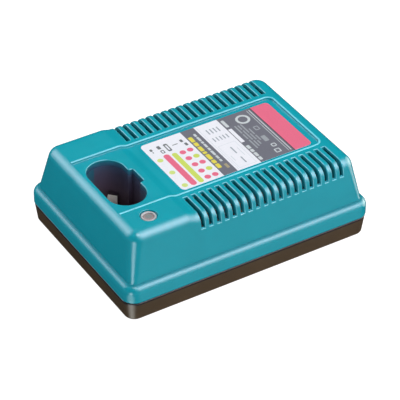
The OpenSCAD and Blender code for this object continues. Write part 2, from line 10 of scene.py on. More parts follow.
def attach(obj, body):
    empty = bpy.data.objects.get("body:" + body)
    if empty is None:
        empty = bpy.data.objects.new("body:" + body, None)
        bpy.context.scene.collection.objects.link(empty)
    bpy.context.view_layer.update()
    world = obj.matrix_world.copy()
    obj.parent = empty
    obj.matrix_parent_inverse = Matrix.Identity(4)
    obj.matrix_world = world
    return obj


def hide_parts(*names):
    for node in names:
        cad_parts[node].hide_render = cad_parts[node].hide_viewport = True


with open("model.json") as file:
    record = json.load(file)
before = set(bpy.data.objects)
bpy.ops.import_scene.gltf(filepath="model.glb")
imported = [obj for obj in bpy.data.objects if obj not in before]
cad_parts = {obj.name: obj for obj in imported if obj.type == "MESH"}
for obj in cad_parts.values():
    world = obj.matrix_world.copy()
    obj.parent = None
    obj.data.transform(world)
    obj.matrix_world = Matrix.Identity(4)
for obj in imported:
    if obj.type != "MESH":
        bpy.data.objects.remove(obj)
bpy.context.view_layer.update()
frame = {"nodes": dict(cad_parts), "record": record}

NODES = frame["nodes"]

# ------------------------------------------------------------------ sizes, in millimetres
HL, HW = 95.0, 68.5
TOP_Z, LOW_Z = 63.0, 61.2
SEAM_Z, SKIRT_Z = 16.6, 27.5
STEP = 3.9
R_TOP, R_PLAN = 8.0, 1.5
WALL = 2.5
PANEL_D, PANEL_HW, PANEL_X, PANEL_R = 1.5, 31.8, 76.6, 4.6
PANEL_X0, BEAD_H = -80.9, 0.35
RAMP0, RAMP1 = -43.2, -37.8
VENT_N, VENT_P, VENT_W, VENT_Z, VENT_Y = 19, 6.02, 2.75, 51.0, 36.9
VENT_X0 = -33.7
WELL_X, WELL_R, WELL_C = -64.3, 13.5, 13.1
KEY_W, KEY_D = 15.2, 3.3
TUBE_Z, EAR_Z = 56.4, 46.0
LAMP = (-65.0, -43.3)
TAN_X, TAN_Y = 5.05 / 35.5, 6.3 / 35.5
AX, AY = math.atan(TAN_X), math.atan(TAN_Y)
CORNER = (HL - 9.5, HW - 9.5)
RHO = 0.62


def bx(z):
    return HL - STEP - (z - SKIRT_Z) * TAN_X


def by(z):
    return HW - STEP - (z - SKIRT_Z) * TAN_Y


KX = (1 - math.sin(AX)) / math.cos(AX)
KY = (1 - math.sin(AY)) / math.cos(AY)
END_C = -(bx(TOP_Z) - KX * R_TOP)  # axis of the rounding at the left end
TH_CUT = math.acos((END_C - PANEL_X0) / R_TOP)
Z_CUT = TOP_Z - R_TOP + R_TOP * math.sin(TH_CUT)


def level(x):
    """Height of the top surface along the length: two levels and a short ramp with soft creases."""
    s = (LOW_Z - TOP_Z) / (RAMP1 - RAMP0)

    def soft(x, x0, k):
        d = 1.2
        if x <= x0 - d:
            return 0.0
        if x >= x0 + d:
            return k * (x - x0)
        return k * (x - x0 + d) ** 2 / (4 * d)

    return TOP_Z + soft(x, RAMP0, s) + soft(x, RAMP1, -s)


def rim_depth(d, r):
    """How far a rounded rim of radius r has dropped at distance d from the edge."""
    if d >= r:
        return 0.0
    return r - math.sqrt(max(0.0, r * r - (r - d) ** 2))


RIM_AT = [1.0, 0.617, 0.293, 0.076, 0.0]  # distances from an edge, as parts of its rounding radius


# ------------------------------------------------------------------ mesh collector
class Build:
    def __init__(self):
        self.v, self.f = [], []

    def pt(self, p):
        self.v.append(p)
        return len(self.v) - 1

    def quads(self, a, b, wrap=False, skip=()):
        """Quads between two rows of points."""
        ia, ib = [self.pt(p) for p in a], [self.pt(p) for p in b]
        n = len(ia)
        for i in range(n if wrap else n - 1):
            if i in skip:
                continue
            j = (i + 1) % n
            self.f.append((ia[i], ia[j], ib[j], ib[i]))

    def grid(self, cols, skip=None, wrap=False):
        """cols: list of columns of points. skip(i, j) leaves a cell out."""
        idx = [[self.pt(p) for p in c] for c in cols]
        n = len(cols)
        for i in range(n if wrap else n - 1):
            k = (i + 1) % n
            for j in range(len(cols[0]) - 1):
                if skip and skip(i, j):
                    continue
                self.f.append((idx[i][j], idx[k][j], idx[k][j + 1], idx[i][j + 1]))

    def flat(self, outer, holes=()):
        """Fills a level polygon with holes by triangles. Points are (x, y, z)."""
        pts, faces = [], []
        for loop in [outer, *holes]:
            loop = dedupe(loop)
            m = len(loop)
            if sum(loop[i][0] * loop[(i + 1) % m][1] - loop[(i + 1) % m][0] * loop[i][1] for i in range(m)) < 0:
                loop = list(reversed(loop))
            s = len(pts)
            pts += loop
            faces.append(list(range(s, s + len(loop))))
        out = delaunay_2d_cdt([Vector((p[0], p[1])) for p in pts], [], faces, 1, 1e-6)
        vc, _, tris, orig, _, of = out
        zs = []
        for k, src in enumerate(orig):
            zs.append(pts[src[0]][2] if src else pts[0][2])
        ids = [self.pt((v[0], v[1], zs[k])) for k, v in enumerate(vc)]
        for t, f in zip(tris, of):
            if 0 in f and not any(h in f for h in range(1, len(faces))):
                self.f.append(tuple(ids[i] for i in t))

    def done(self, name, sharp=40.0, merge=0.004):
        me = bpy.data.meshes.new(name)
        me.from_pydata([(p[0] / 1000, p[1] / 1000, p[2] / 1000) for p in self.v], [], self.f)
        bm = bmesh.new()
        bm.from_mesh(me)
        bmesh.ops.remove_doubles(bm, verts=bm.verts, dist=merge / 1000)
        bmesh.ops.dissolve_degenerate(bm, dist=0.001 / 1000, edges=bm.edges)
        bmesh.ops.recalc_face_normals(bm, faces=bm.faces)
        bad = [e for e in bm.edges if len(e.link_faces) != 2]
        print("MESH", name, len(bm.verts), len(bm.faces), "open edges", len(bad))
        for e in bad[:4]:
            print("   ", [tuple(round(c * 1000, 3) for c in v.co) for v in e.verts], len(e.link_faces))
        bm.to_mesh(me)
        bm.free()
        ob = bpy.data.objects.new(name, me)
        bpy.context.scene.collection.objects.link(ob)
        return ob


def apply_modifiers(ob):
    dg = bpy.context.evaluated_depsgraph_get()
    me = bpy.data.meshes.new_from_object(ob.evaluated_get(dg))
    old = ob.data
    ob.modifiers.clear()
    ob.data = me
    bpy.data.meshes.remove(old)


def smooth(ob, sharp=40.0, weighted=True):
    """Smooth shading with sharp edges by angle and area-weighted normals, so that flats stay flat."""
    me = ob.data
    bm = bmesh.new()
    bm.from_mesh(me)
    lim = math.radians(sharp)
    for f in bm.faces:
        f.smooth = True
    for e in bm.edges:
        e.smooth = len(e.link_faces) == 2 and e.calc_face_angle(0.0) < lim
    bm.to_mesh(me)
    bm.free()
    if weighted:
        m = ob.modifiers.new("wn", "WEIGHTED_NORMAL")
        m.keep_sharp = True
        m.weight = 50
        apply_modifiers(ob)


def arc(cx, cz, r, a0, a1, n):
    return [(cx + r * math.cos(math.radians(a0 + (a1 - a0) * i / n)), cz + r * math.sin(math.radians(a0 + (a1 - a0) * i / n))) for i in range(n + 1)]


def circle(cx, cy, r, z, n=48, ph=0.0):
    return [(cx + r * math.cos(2 * math.pi * i / n + ph), cy + r * math.sin(2 * math.pi * i / n + ph), z) for i in range(n)]


# ------------------------------------------------------------------ stations round the housing
# a station: (lip centre, body centre, outward direction, level, thickness at the top, kind, key)
def side_station(x, s):
    h = level(x)
    return dict(cb=(x, s * CORNER[1]), c=(x, s * (by(h) - KY * R_TOP - R_PLAN)), n=(0.0, float(s)), h=h, kind="side", x=x, s=s)


def end_station(y, h, s, low=False, cut=False):
    """low: its inside is the thicker ceiling under the panel. cut: its outside ends where the panel is sunk."""
    return dict(cb=(s * CORNER[0], y), c=(s * (bx(h) - KX * R_TOP - R_PLAN), y), n=(float(s), 0.0), h=h, kind="end", y=y, s=s, low=low, cut=cut)


def corner_station(sx, sy, phi, h):
    n = (sx * math.cos(phi), sy * math.sin(phi))
    return dict(cb=(sx * CORNER[0], sy * CORNER[1]), c=(sx * (bx(h) - KX * R_TOP - R_PLAN), sy * (by(h) - KY * R_TOP - R_PLAN)), n=n, h=h, kind="corner")


# cross-section of the panel's edge inside its bead: (distance outward from the edge line, height below the outer level)
STEP_PROFILE = [(0.0, 0.0), (0.0, -0.5)]
for a in (0, -30, -60, -90):
    STEP_PROFILE.append((-0.38 + 0.38 * math.cos(math.radians(a)), -PANEL_D + 0.38 + 0.38 * math.sin(math.radians(a))))
# the same step in the ceiling
INNER_PROFILE = [(1.7, 0.0), (1.5, -PANEL_D)]

RAMP_X = [RAMP0 - 1.2, RAMP0 - 0.6, RAMP0, RAMP0 + 0.6, RAMP0 + 1.2, RAMP1 - 1.2, RAMP1 - 0.6, RAMP1, RAMP1 + 0.6, RAMP1 + 1.2]
SLOT_X = []
for k in range(VENT_N):
    xc = VENT_X0 + VENT_P * k
    SLOT_X += [xc - VENT_W / 2 - RHO * d for d in RIM_AT] + [xc + VENT_W / 2 + RHO * d for d in reversed(RIM_AT)]
SIDE_X = [-72.0, -58.0] + RAMP_X + SLOT_X

NC = 14
stations = []
# anticlockwise from the middle of the right end
stations += [end_station(y, LOW_Z, 1) for y in (-25.0, 0.0, 25.0)]
stations += [corner_station(1, 1, math.pi / 2 * i / NC, LOW_Z) for i in range(NC + 1)]
stations += [side_station(x, 1) for x in reversed(SIDE_X)]
stations += [corner_station(-1, 1, math.pi / 2 * (1 - i / NC), TOP_Z) for i in range(NC + 1)]
left_end = [end_station(PANEL_HW + 1.7, TOP_Z, -1), end_station(PANEL_HW + 1.5, TOP_Z, -1, low=True), end_station(PANEL_HW, TOP_Z, -1, low=True)]
left_end += [end_station(PANEL_HW, TOP_Z, -1, low=True, cut=True), end_station(16.0, TOP_Z, -1, low=True, cut=True)]
stations += left_end + [end_station(0.0, TOP_Z, -1, low=True, cut=True)]
stations += [end_station(-st["y"], TOP_Z, -1, low=st["low"], cut=st["cut"]) for st in reversed(left_end)]
stations += [corner_station(-1, -1, math.pi / 2 * i / NC, TOP_Z) for i in range(NC + 1)]
stations += [side_station(x, -1) for x in SIDE_X]
stations += [corner_station(1, -1, math.pi / 2 * (1 - i / NC), LOW_Z) for i in range(NC + 1)]

RF = 0.25  # concave rounding where the body meets the skirt
RL, ZL = 5.9, SKIRT_Z - 4.25  # rounding of the skirt's top and the height of its axis
LIP = [(3.0, SEAM_Z)] + [(0.5 - c, z) for c, z in arc(0, SEAM_Z + 0.5, 0.5, -90, 0, 4)] + [(0.0, 20.5)]
LIP_N = 8


def lip_joint(al):
    """Where a wall of slope al meets the skirt: centre of the concave rounding, its angle at the skirt, and its end on the wall."""
    zf = SKIRT_Z + 1.5
    for _ in range(20):
        uf = -STEP + (RF - (zf - SKIRT_Z) * math.sin(al)) / math.cos(al)
        zf = ZL + math.sqrt((RL + RF) ** 2 - (uf + RL) ** 2)
    return uf, zf, math.atan2(zf - ZL, uf + RL), -(uf - RF * math.cos(al)), zf - RF * math.sin(al)


WALL_Z = [33.0, 38.0, 43.0, 47.0] + [VENT_Z - RHO * d for d in RIM_AT]
NF = 12


def slot_distance(x):
    """Distance in x to the nearest slot; 0 inside one."""
    k = min(max(round((x - VENT_X0) / VENT_P), 0), VENT_N - 1)
    return max(0.0, abs(x - VENT_X0 - VENT_P * k) - VENT_W / 2)


def column(st):
    """Outer points and inner points for one station."""
    outer, inner = column_at(st)
    if st.get("low"):
        inner = column_at(end_station(st["y"], TOP_Z - PANEL_D, -1))[1]
    return outer, inner


def column_at(st):
    n = st["n"]
    h = st["h"]
    Cb, C = st["cb"], st["c"]

    def at(c, r, z):
        return (c[0] + n[0] * r, c[1] + n[1] * r, z)

    al = AX if abs(n[0]) > 0.7 else AY
    for _ in range(8):
        uf, zf, a_lip, off_b, z_b = lip_joint(al)
        z_f = h - R_TOP + R_TOP * math.sin(al)
        pb = (Cb[0] + n[0] * (9.5 - off_b), Cb[1] + n[1] * (9.5 - off_b))
        pf = (C[0] + n[0] * (R_PLAN + R_TOP * math.cos(al)), C[1] + n[1] * (R_PLAN + R_TOP * math.cos(al)))
        al = math.atan(((pb[0] - pf[0]) * n[0] + (pb[1] - pf[1]) * n[1]) / (z_f - z_b))
    t_top = h - (LOW_Z - WALL) if st["kind"] != "end" or st["s"] > 0 else TOP_Z - (LOW_Z - WALL)
    outer = [at(Cb, 9.5 - o, z) for o, z in LIP]
    for i in range(LIP_N + 1):
        a = a_lip * i / LIP_N
        outer.append(at(Cb, 9.5 - RL + RL * math.cos(a), ZL + RL * math.sin(a)))
    for i in range(1, 5):
        a = math.pi + a_lip + (al - a_lip) * i / 4
        outer.append(at(Cb, 9.5 + uf + RF * math.cos(a), zf + RF * math.sin(a)))
    inner = [at(Cb, 6.5, SEAM_Z), at(Cb, 6.5, SKIRT_Z - 2.6)]
    # inner wall at the roof of the skirt
    o_in = STEP + WALL / math.cos(al) + (SKIRT_Z - 2.6 - SKIRT_Z) * math.tan(al)
    inner.append(at(Cb, 9.5 - o_in, SKIRT_Z - 2.6))
    side = st["kind"] == "side"
    z_f0 = LOW_Z - R_TOP + R_TOP * math.sin(AY)
    z_b0 = lip_joint(AY)[4]
    rows = [(z - z_b0) / (z_f0 - z_b0) for z in WALL_Z] + [1.0]
    dx = slot_distance(st["x"]) if side and st["x"] > RAMP1 + 1.3 else 99.0
    info = []
    for f in rows:
        z = z_b + (z_f - z_b) * f
        base = (pb[0] + (pf[0] - pb[0]) * f, pb[1] + (pf[1] - pb[1]) * f, z)
        nn = (n[0] * math.cos(al), n[1] * math.cos(al), math.sin(al))
        dt = max(0.0, (VENT_Z - z) / math.cos(al))
        d = rim_depth(math.hypot(dx, dt), RHO)
        outer.append(tuple(base[k] - nn[k] * d for k in range(3)))
        inner.append(tuple(base[k] - nn[k] * WALL for k in range(3)))
    for i in range(1, NF + 1):
        u = i / NF
        th = al + u * (math.pi / 2 - al)
        t = WALL + (t_top - WALL) * u * u
        d = rim_depth(dx, RHO)
        to = th
        if st["kind"] == "end" and st["s"] < 0:
            to = al + (TH_CUT - al) * i / (NF - 2) if i <= NF - 2 else (TH_CUT + math.pi / 2) / 2 if i == NF - 1 else math.pi / 2
            if st.get("cut"):
                to = min(to, TH_CUT)
        for t_, a, out in ((d, to, outer), (t, th, inner)):
            nn = (n[0] * math.cos(a), n[1] * math.cos(a), math.sin(a))
            base = at(C, R_PLAN + R_TOP * math.cos(a), h - R_TOP + R_TOP * math.sin(a))
            out.append(tuple(base[k] - nn[k] * t_ for k in range(3)))
    return outer, inner


cols = [column(s) for s in stations]
N_OUT, N_IN = len(cols[0][0]), len(cols[0][1])
# index of the row at the lower end of the slots, outer and inner
J_SLOT = len(LIP) + LIP_N + 5 + len(WALL_Z) - 1
I_SLOT = 3 + len(WALL_Z) - 1


def in_slot_cell(i):
    a, b = stations[i], stations[(i + 1) % len(stations)]
    if a["kind"] != "side" or b["kind"] != "side" or min(a["x"], b["x"]) < RAMP1 + 1.3:
        return False
    return slot_distance((a["x"] + b["x"]) / 2) == 0.0


SLOT_CELL = [in_slot_cell(i) for i in range(len(stations))]


def left_out(i, j):
    """Cells of the outer grid that the sunk panel takes away at the left end."""
    a, b = stations[i], stations[(i + 1) % len(stations)]
    ca, cb_ = bool(a.get("cut")), bool(b.get("cut"))
    return ca != cb_ or (ca and cb_ and j >= N_OUT - 3)


def twin(i):
    a, b = stations[i], stations[(i + 1) % len(stations)]
    return bool(a.get("cut")) != bool(b.get("cut"))


SHOULDER_Y = [47.0, 42.0, VENT_Y] + [VENT_Y - RHO * d for d in reversed(RIM_AT)][1:]


def shoulder_column(st, F_out, F_in):
    """Flat part of the slot zone from the end of the rounding inward."""
    dx = slot_distance(st["x"])
    so, si = [F_out], [F_in]
    for y in SHOULDER_Y:
        dt = max(0.0, VENT_Y - y)
        d = rim_depth(math.hypot(dx, dt), RHO)
        so.append((st["x"], st["s"] * y, LOW_Z - d))
        si.append((st["x"], st["s"] * y, LOW_Z - WALL))
    return so, si


def panel_path():
    """Stations of the panel's edge from the left end round the right end: (point, outward normal, level)."""
    out = []
    xs = [-60.0] + RAMP_X + [0.0, 40.0]
    for x in xs:
        out.append(((x, PANEL_HW), (0.0, 1.0), level(x)))
    c = (PANEL_X - PANEL_R, PANEL_HW - PANEL_R)
    for i in range(13):
        a = math.radians(90 - 90 * i / 12)
        out.append(((c[0] + PANEL_R * math.cos(a), c[1] + PANEL_R * math.sin(a)), (math.cos(a), math.sin(a)), LOW_Z))
    for i in range(13):
        a = math.radians(-90 * i / 12)
        out.append(((c[0] + PANEL_R * math.cos(a), -c[1] + PANEL_R * math.sin(a)), (math.cos(a), math.sin(a)), LOW_Z))
    for x in reversed(xs):
        out.append(((x, -PANEL_HW), (0.0, -1.0), level(x)))
    return out


def well_outline(off, z):
    """Outline of the socket opening, moved outward by off. Corners keep their centres."""
    rc_in, rc_out = 1.0, 0.9  # corners that point into the opening, and corners of the keyway
    pts = []
    x0, r = WELL_X, WELL_R + off
    kw, kx = KEY_W / 2 + off, WELL_X + WELL_R + KEY_D + off
    # start on the +X side below the keyway, go clockwise round the -Y end, up the -X side, round the +Y end
    n = 24
    lower = [(x0 + r * math.cos(a), -WELL_C + r * math.sin(a)) for a in [-math.pi * i / n for i in range(n + 1)]]
    upper = [(x0 + r * math.cos(a), WELL_C + r * math.sin(a)) for a in [math.pi - math.pi * i / n for i in range(n + 1)]]
    left = [(x0 - r, y) for y in (-6.5, 0.0, 6.5)]
    right_x = x0 + r
    # material corner at (right_x, kw): its rounding centre lies in the material
    q = max(0.0, rc_in - off)
    c1 = (right_x + q, kw + q)
    q2 = rc_out + off
    c2 = (WELL_X + WELL_R + KEY_D - rc_out, KEY_W / 2 - rc_out)
    m = 5
    key = []
    for i in range(m + 1):  # from the straight side into the keyway
        a = math.radians(180 + 90 * i / m)
        key.append((c1[0] + q * math.cos(a), c1[1] + q * math.sin(a)))
    for i in range(m + 1):
        a = math.radians(90 - 90 * i / m)
        key.append((c2[0] + q2 * math.cos(a), c2[1] + q2 * math.sin(a)))
    pts = lower + left + upper
    pts += key
    pts += [(kx, 0.0)]
    pts += [(x, -y) for x, y in reversed(key)]
    return [(x, y, z) for x, y in pts]


def make_top():
    b = Build()
    N = len(stations)
    b.grid([c[0] for c in cols], skip=lambda i, j: (SLOT_CELL[i] and j >= J_SLOT) or left_out(i, j), wrap=True)
    b.grid([c[1] for c in cols], skip=lambda i, j: (SLOT_CELL[i] and j >= I_SLOT) or twin(i), wrap=True)
    # slot zones on the top
    for s in (1, -1):
        ids = [i for i, st in enumerate(stations) if st["kind"] == "side" and st["s"] == s and st["x"] > RAMP1 + 1.3]
        so, si = [], []
        for i in ids:
            o, n_ = shoulder_column(stations[i], cols[i][0][-1], cols[i][1][-1])
            so.append(o)
            si.append(n_)
        cell = [slot_distance((stations[ids[k]]["x"] + stations[ids[k + 1]]["x"]) / 2) == 0.0 for k in range(len(ids) - 1)]
        js = 3  # row of the slots' inner end
        for g in (so, si):
            b.grid(g, skip=lambda i, j: cell[i] and j < js)
        for k in range(len(ids) - 1):
            if not cell[k]:
                continue
            for q in (k, k + 1):
                i = ids[q]
                lo = cols[i][0][J_SLOT:] + so[q][1 : js + 1]
                li = cols[i][1][I_SLOT:] + si[q][1 : js + 1]
                b.quads(lo, li)
            b.quads([cols[ids[k]][0][J_SLOT], cols[ids[k + 1]][0][J_SLOT]], [cols[ids[k]][1][I_SLOT], cols[ids[k + 1]][1][I_SLOT]])
            b.quads([so[k][js], so[k + 1][js]], [si[k][js], si[k + 1][js]])
    # panel edge
    pp = panel_path()
    left = [i for i, st in enumerate(stations) if st["kind"] == "end" and st["s"] < 0]  # from +Y to -Y

    def edge_row(p, n, z_top, h):
        return [(p[0], p[1], z_top)] + [(p[0] + n[0] * d, p[1] + n[1] * d, h + z) for d, z in STEP_PROFILE[1:]]

    def on_round(th, s):
        return edge_row((END_C - R_TOP * math.cos(th), s * PANEL_HW), (0.0, float(s)), TOP_Z - R_TOP + R_TOP * math.sin(th), TOP_Z)

    th_mid = (TH_CUT + math.pi / 2) / 2
    for side in (0, 1):
        ref = (lambda i: cols[i][side][-1])
        if side == 0:
            rows = [on_round(math.pi / 2, 1)] + [edge_row(p, n, h, h) for p, n, h in pp] + [on_round(math.pi / 2, -1)]
            west = [on_round(th_mid, -1), edge_row((PANEL_X0, -PANEL_HW), (-1.0, -1.0), Z_CUT, TOP_Z)]
            west += [edge_row((PANEL_X0, y), (-1.0, 0.0), Z_CUT, TOP_Z) for y in (-16.0, 0.0, 16.0)]
            west += [edge_row((PANEL_X0, PANEL_HW), (-1.0, 1.0), Z_CUT, TOP_Z), on_round(th_mid, 1)]
            b.grid(rows + west, wrap=True)
            floor_west = [r[-1] for r in reversed(west)]
            rim_west = {1: [ref(i) for i in left if stations[i]["y"] > 20 and not stations[i]["cut"]], -1: [ref(i) for i in reversed(left) if stations[i]["y"] < -20 and not stations[i]["cut"]]}
        else:
            zt = LOW_Z - WALL
            rows = [[ref(left[0]), ref(left[1])]] + [[(p[0] + n[0] * d, p[1] + n[1] * d, zt + z) for d, z in INNER_PROFILE] for p, n, h in pp]
            rows.append([ref(left[-1]), ref(left[-2])])
            b.grid(rows)
            floor_west = [ref(i) for i in left[2:-2]]
            rim_west = {1: [ref(left[0])], -1: [ref(left[-1])]}
        outer_edge = [r[0] for r in rows]
        inner_edge = [r[-1] for r in rows]
        n_x = 1 + 1 + len(RAMP_X)  # rows up to the end of the ramp
        # level pieces outside the panel
        iN = {}

        def ring(i):
            return cols[i][side][-1]

        side_ids = {s: [i for i, st in enumerate(stations) if st["kind"] == "side" and st["s"] == s] for s in (1, -1)}
        for s in (1, -1):
            hi = [i for i in side_ids[s] if stations[i]["x"] <= RAMP0 - 1.19]
            hi.sort(key=lambda i: stations[i]["x"])
            corner = [i for i, st in enumerate(stations) if st["kind"] == "corner" and st["c"][0] < 0 and st["c"][1] * s > 0]
            corner.sort(key=lambda i: abs(stations[i]["n"][0]))  # from the long side to the end
            hi_desc = sorted(hi, key=lambda i: -stations[i]["x"])
            loop = [ring(i) for i in hi_desc] + [ring(i) for i in corner] + rim_west[s]
            edge = outer_edge if s > 0 else list(reversed(outer_edge))
            loop += edge[: 1 + 1 + 1]  # left end, -60, ramp start
            holes = []
            if s < 0:
                holes = [lamp_hole_edge(side)]
            b.flat(loop, holes)
            # ramp
            ramp_ids = sorted([i for i in side_ids[s] if RAMP0 - 1.21 <= stations[i]["x"] <= RAMP1 + 1.21], key=lambda i: stations[i]["x"])
            b.quads([ring(i) for i in ramp_ids], edge[2 : 2 + len(RAMP_X)])
        # low level outside the panel
        lo_edge = outer_edge[1 + len(RAMP_X) : len(outer_edge) - 1 - len(RAMP_X)]
        loop = list(lo_edge)  # from +Y side of the ramp round the right end to the -Y side
        for s, order in ((-1, 1), (1, -1)):
            part = sorted([i for i in side_ids[s] if stations[i]["x"] >= RAMP1 + 1.19], key=lambda i: stations[i]["x"])
            xs = [i for i in part if stations[i]["x"] > RAMP1 + 1.3]
            first = [i for i in part if stations[i]["x"] <= RAMP1 + 1.3]
            y_end = SHOULDER_Y[-1]
            z = LOW_Z if side == 0 else LOW_Z - WALL
            notch = [ring(xs[0])] + [(stations[xs[0]]["x"], s * y, z) for y in SHOULDER_Y[:-1]]
            notch += [(stations[i]["x"], s * y_end, z) for i in xs]
            notch += [(stations[xs[-1]]["x"], s * y, z) for y in reversed(SHOULDER_Y[:-1])] + [ring(xs[-1])]
            seq = [ring(i) for i in first] + notch
            cr = [i for i, st in enumerate(stations) if st["kind"] == "corner" and st["c"][0] > 0 and st["c"][1] * s > 0]
            cr.sort(key=lambda i: abs(stations[i]["n"][0]))
            seq += [ring(i) for i in cr]
            if s < 0:
                ends = sorted([i for i, st in enumerate(stations) if st["kind"] == "end" and st["s"] > 0], key=lambda i: stations[i]["y"])
                loop += seq + [ring(i) for i in ends]
            else:
                loop += list(reversed(seq))
        # flat() drops the outline's shared corners' repeats
        b.flat(dedupe(loop))
        # panel floor: high, ramp, low
        e_p, e_n = inner_edge[:3], list(reversed(inner_edge))[:3]
        loop = list(reversed(e_p)) + floor_west + e_n
        b.flat(dedupe(loop), [well_hole_edge(side)])
        b.quads(inner_edge[2 : 2 + len(RAMP_X)], list(reversed(inner_edge))[2 : 2 + len(RAMP_X)])
        b.flat(dedupe(inner_edge[1 + len(RAMP_X) : len(inner_edge) - 1 - len(RAMP_X)]))
    # socket opening: rounded rim, wall, lower end, outer face of the tube
    z0 = TOP_Z - PANEL_D
    rw = 0.7
    rows = [well_outline(rw * d, z0 - rim_depth(rw * d, rw)) for d in RIM_AT]
    rows += [well_outline(-0.02, 58.5), well_outline(-0.06, TUBE_Z + 0.3), well_outline(0.08, TUBE_Z)]
    rows += [well_outline(1.2, TUBE_Z), well_hole_edge(1)]
    b.grid(list(zip(*rows)), wrap=True)
    # lamp seat
    rl = 0.45
    x, y = LAMP
    rows = [circle(x, y, 5.9 + rl * d, TOP_Z - rim_depth(rl * d, rl)) for d in RIM_AT]
    rows += [circle(x, y, 5.9, TOP_Z - 2.1), circle(x, y, 4.6, TOP_Z - 2.1), lamp_hole_edge(1)]
    b.grid(list(zip(*rows)), wrap=True)
    return b.done("top_housing_shell")


def dedupe(loop):
    out = []
    for p in loop:
        if not out or max(abs(p[k] - out[-1][k]) for k in range(3)) > 1e-4:
            out.append(p)
    if max(abs(out[0][k] - out[-1][k]) for k in range(3)) < 1e-4:
        out.pop()
    return out


def lamp_hole_edge(side):
    return circle(*LAMP, 5.9 + 0.45, TOP_Z) if side == 0 else circle(*LAMP, 4.6, LOW_Z - WALL)


def well_hole_edge(side):
    return well_outline(0.7, TOP_Z - PANEL_D) if side == 0 else well_outline(1.2, LOW_Z - WALL - PANEL_D)


top = make_top()


# ------------------------------------------------------------------ lower housing
def rr(o, z, n=12):
    """Rounded rectangle, o inside the skirt's edge, as a closed loop."""
    out = []
    for sx, sy, a0 in ((1, 1, 0), (-1, 1, 90), (-1, -1, 180), (1, -1, 270)):
        for i in range(n + 1):
            a = math.radians(a0 + 90 * i / n)
            out.append((sx * CORNER[0] + (9.5 - o) * math.cos(a), sy * CORNER[1] + (9.5 - o) * math.sin(a), z))
    return out


SHELL_SCREWS = [(-80, -52), (-80, 52), (80, -52), (80, 52)]
BOARD_SCREWS = [(-36, -44), (-36, 44), (68, -44), (68, 44)]
FEET = [(-64, -50), (-64, 50), (64, -50), (64, 50)]
EARS = [(WELL_X + 13.8, 27.5), (WELL_X - 13.8, -27.5)]


def make_base():
    b = Build()
    rows = [(4.4, 3.5), (4.4, 18.8), (4.2, 19.0), (3.4, 19.0), (3.2, 18.8), (3.2, 15.9), (0.95, 15.9)]
    rows += [(0.95 - 0.55 * math.sin(math.radians(a)), 15.35 + 0.55 * math.cos(math.radians(a))) for a in (22.5, 45, 67.5, 90)]
    rows += [(1.2, 9.3), (2.0 - 0.02, 3.2)]
    rows += [(4.0 - 2.0 * math.cos(math.radians(a)), 3.0 - 2.0 * math.sin(math.radians(a))) for a in (8, 20, 34, 48, 62, 76, 90)]
    b.grid(list(zip(*[rr(o, z) for o, z in rows])), wrap=True)
    feet = [circle(x, y, 7.1, 1.0) for x, y in FEET]
    scr = [circle(x, y, 3.3, 1.0) for x, y in SHELL_SCREWS]
    b.flat(rr(4.0, 1.0), feet + scr)
    b.flat(rr(4.4, 3.5), [circle(x, y, 5.0, 3.5) for x, y in SHELL_SCREWS] + [circle(x, y, 3.5, 3.5) for x, y in BOARD_SCREWS])
    for x, y in FEET:
        b.quads(circle(x, y, 7.1, 1.0), circle(x, y, 7.1, 2.0), wrap=True)
        b.flat(circle(x, y, 7.1, 2.0))
    for x, y in SHELL_SCREWS:
        rows = [circle(x, y, r, z) for r, z in ((3.3, 1.0), (3.3, 6.0), (1.8, 6.0), (1.8, 17.5), (5.0, 17.5), (5.0, 3.5))]
        b.grid(list(zip(*rows)), wrap=True)
    for x, y in BOARD_SCREWS:
        rows = [circle(x, y, r, z) for r, z in ((3.5, 3.5), (3.5, 9.0), (1.27, 9.0), (1.27, 3.6))]
        b.grid(list(zip(*rows)), wrap=True)
        b.flat(circle(x, y, 1.27, 3.6))
    return b.done("base_housing_shell")


def make_posts():
    """Screw posts inside the upper housing; their tops stand in the housing's wall."""
    b = Build()

    def post(x, y, r, z0, z1, hole, depth):
        rows = [circle(x, y, q, z, 32) for q, z in ((hole, z0 + depth), (hole, z0), (r, z0), (r, z1))]
        b.grid(list(zip(*rows)), wrap=True)
        b.flat(circle(x, y, hole, z0 + depth, 32))
        b.flat(circle(x, y, r, z1, 32))

    for x, y in SHELL_SCREWS:
        post(x, y, 4.0, 17.5, 59.0, 1.52, 13.0)
    for x, y in EARS:
        post(x, y, 3.5, EAR_Z, 57.9, 1.32, 10.0)
    post(-59, -48.6, 2.4, 52.0, 59.3, 0.92, 5.0)
    return b.done("housing_posts")


def make_bead():
    """Rounded bead round the panel; it follows the top surface and stops at the left end."""
    b = Build()
    sec = [(0.7 + 0.8 * math.cos(math.radians(a)), -0.45 + 0.8 * math.sin(math.radians(a))) for a in (10, 34, 48, 62, 76, 90, 104, 118, 132, 146)]
    sec += [(0.04, -0.9), (1.4, -0.9)]
    path = [((x, PANEL_HW), (0.0, 1.0), TOP_Z) for x in (PANEL_X0 + 0.4, END_C)] + panel_path() + [((x, -PANEL_HW), (0.0, -1.0), TOP_Z) for x in (END_C, PANEL_X0 + 0.4)]
    rows = [[(p[0] + n[0] * d, p[1] + n[1] * d, h + z) for d, z in sec] for p, n, h in path]
    b.grid([r + [r[0]] for r in rows])
    for r in (rows[0], rows[-1]):
        ids = [b.pt(p) for p in r]
        c = b.pt((r[0][0], (r[4][1] + r[11][1]) / 2, r[0][2]))
        for i in range(len(ids)):
            b.f.append((ids[i], ids[(i + 1) % len(ids)], c))
    return b.done("panel_bead")


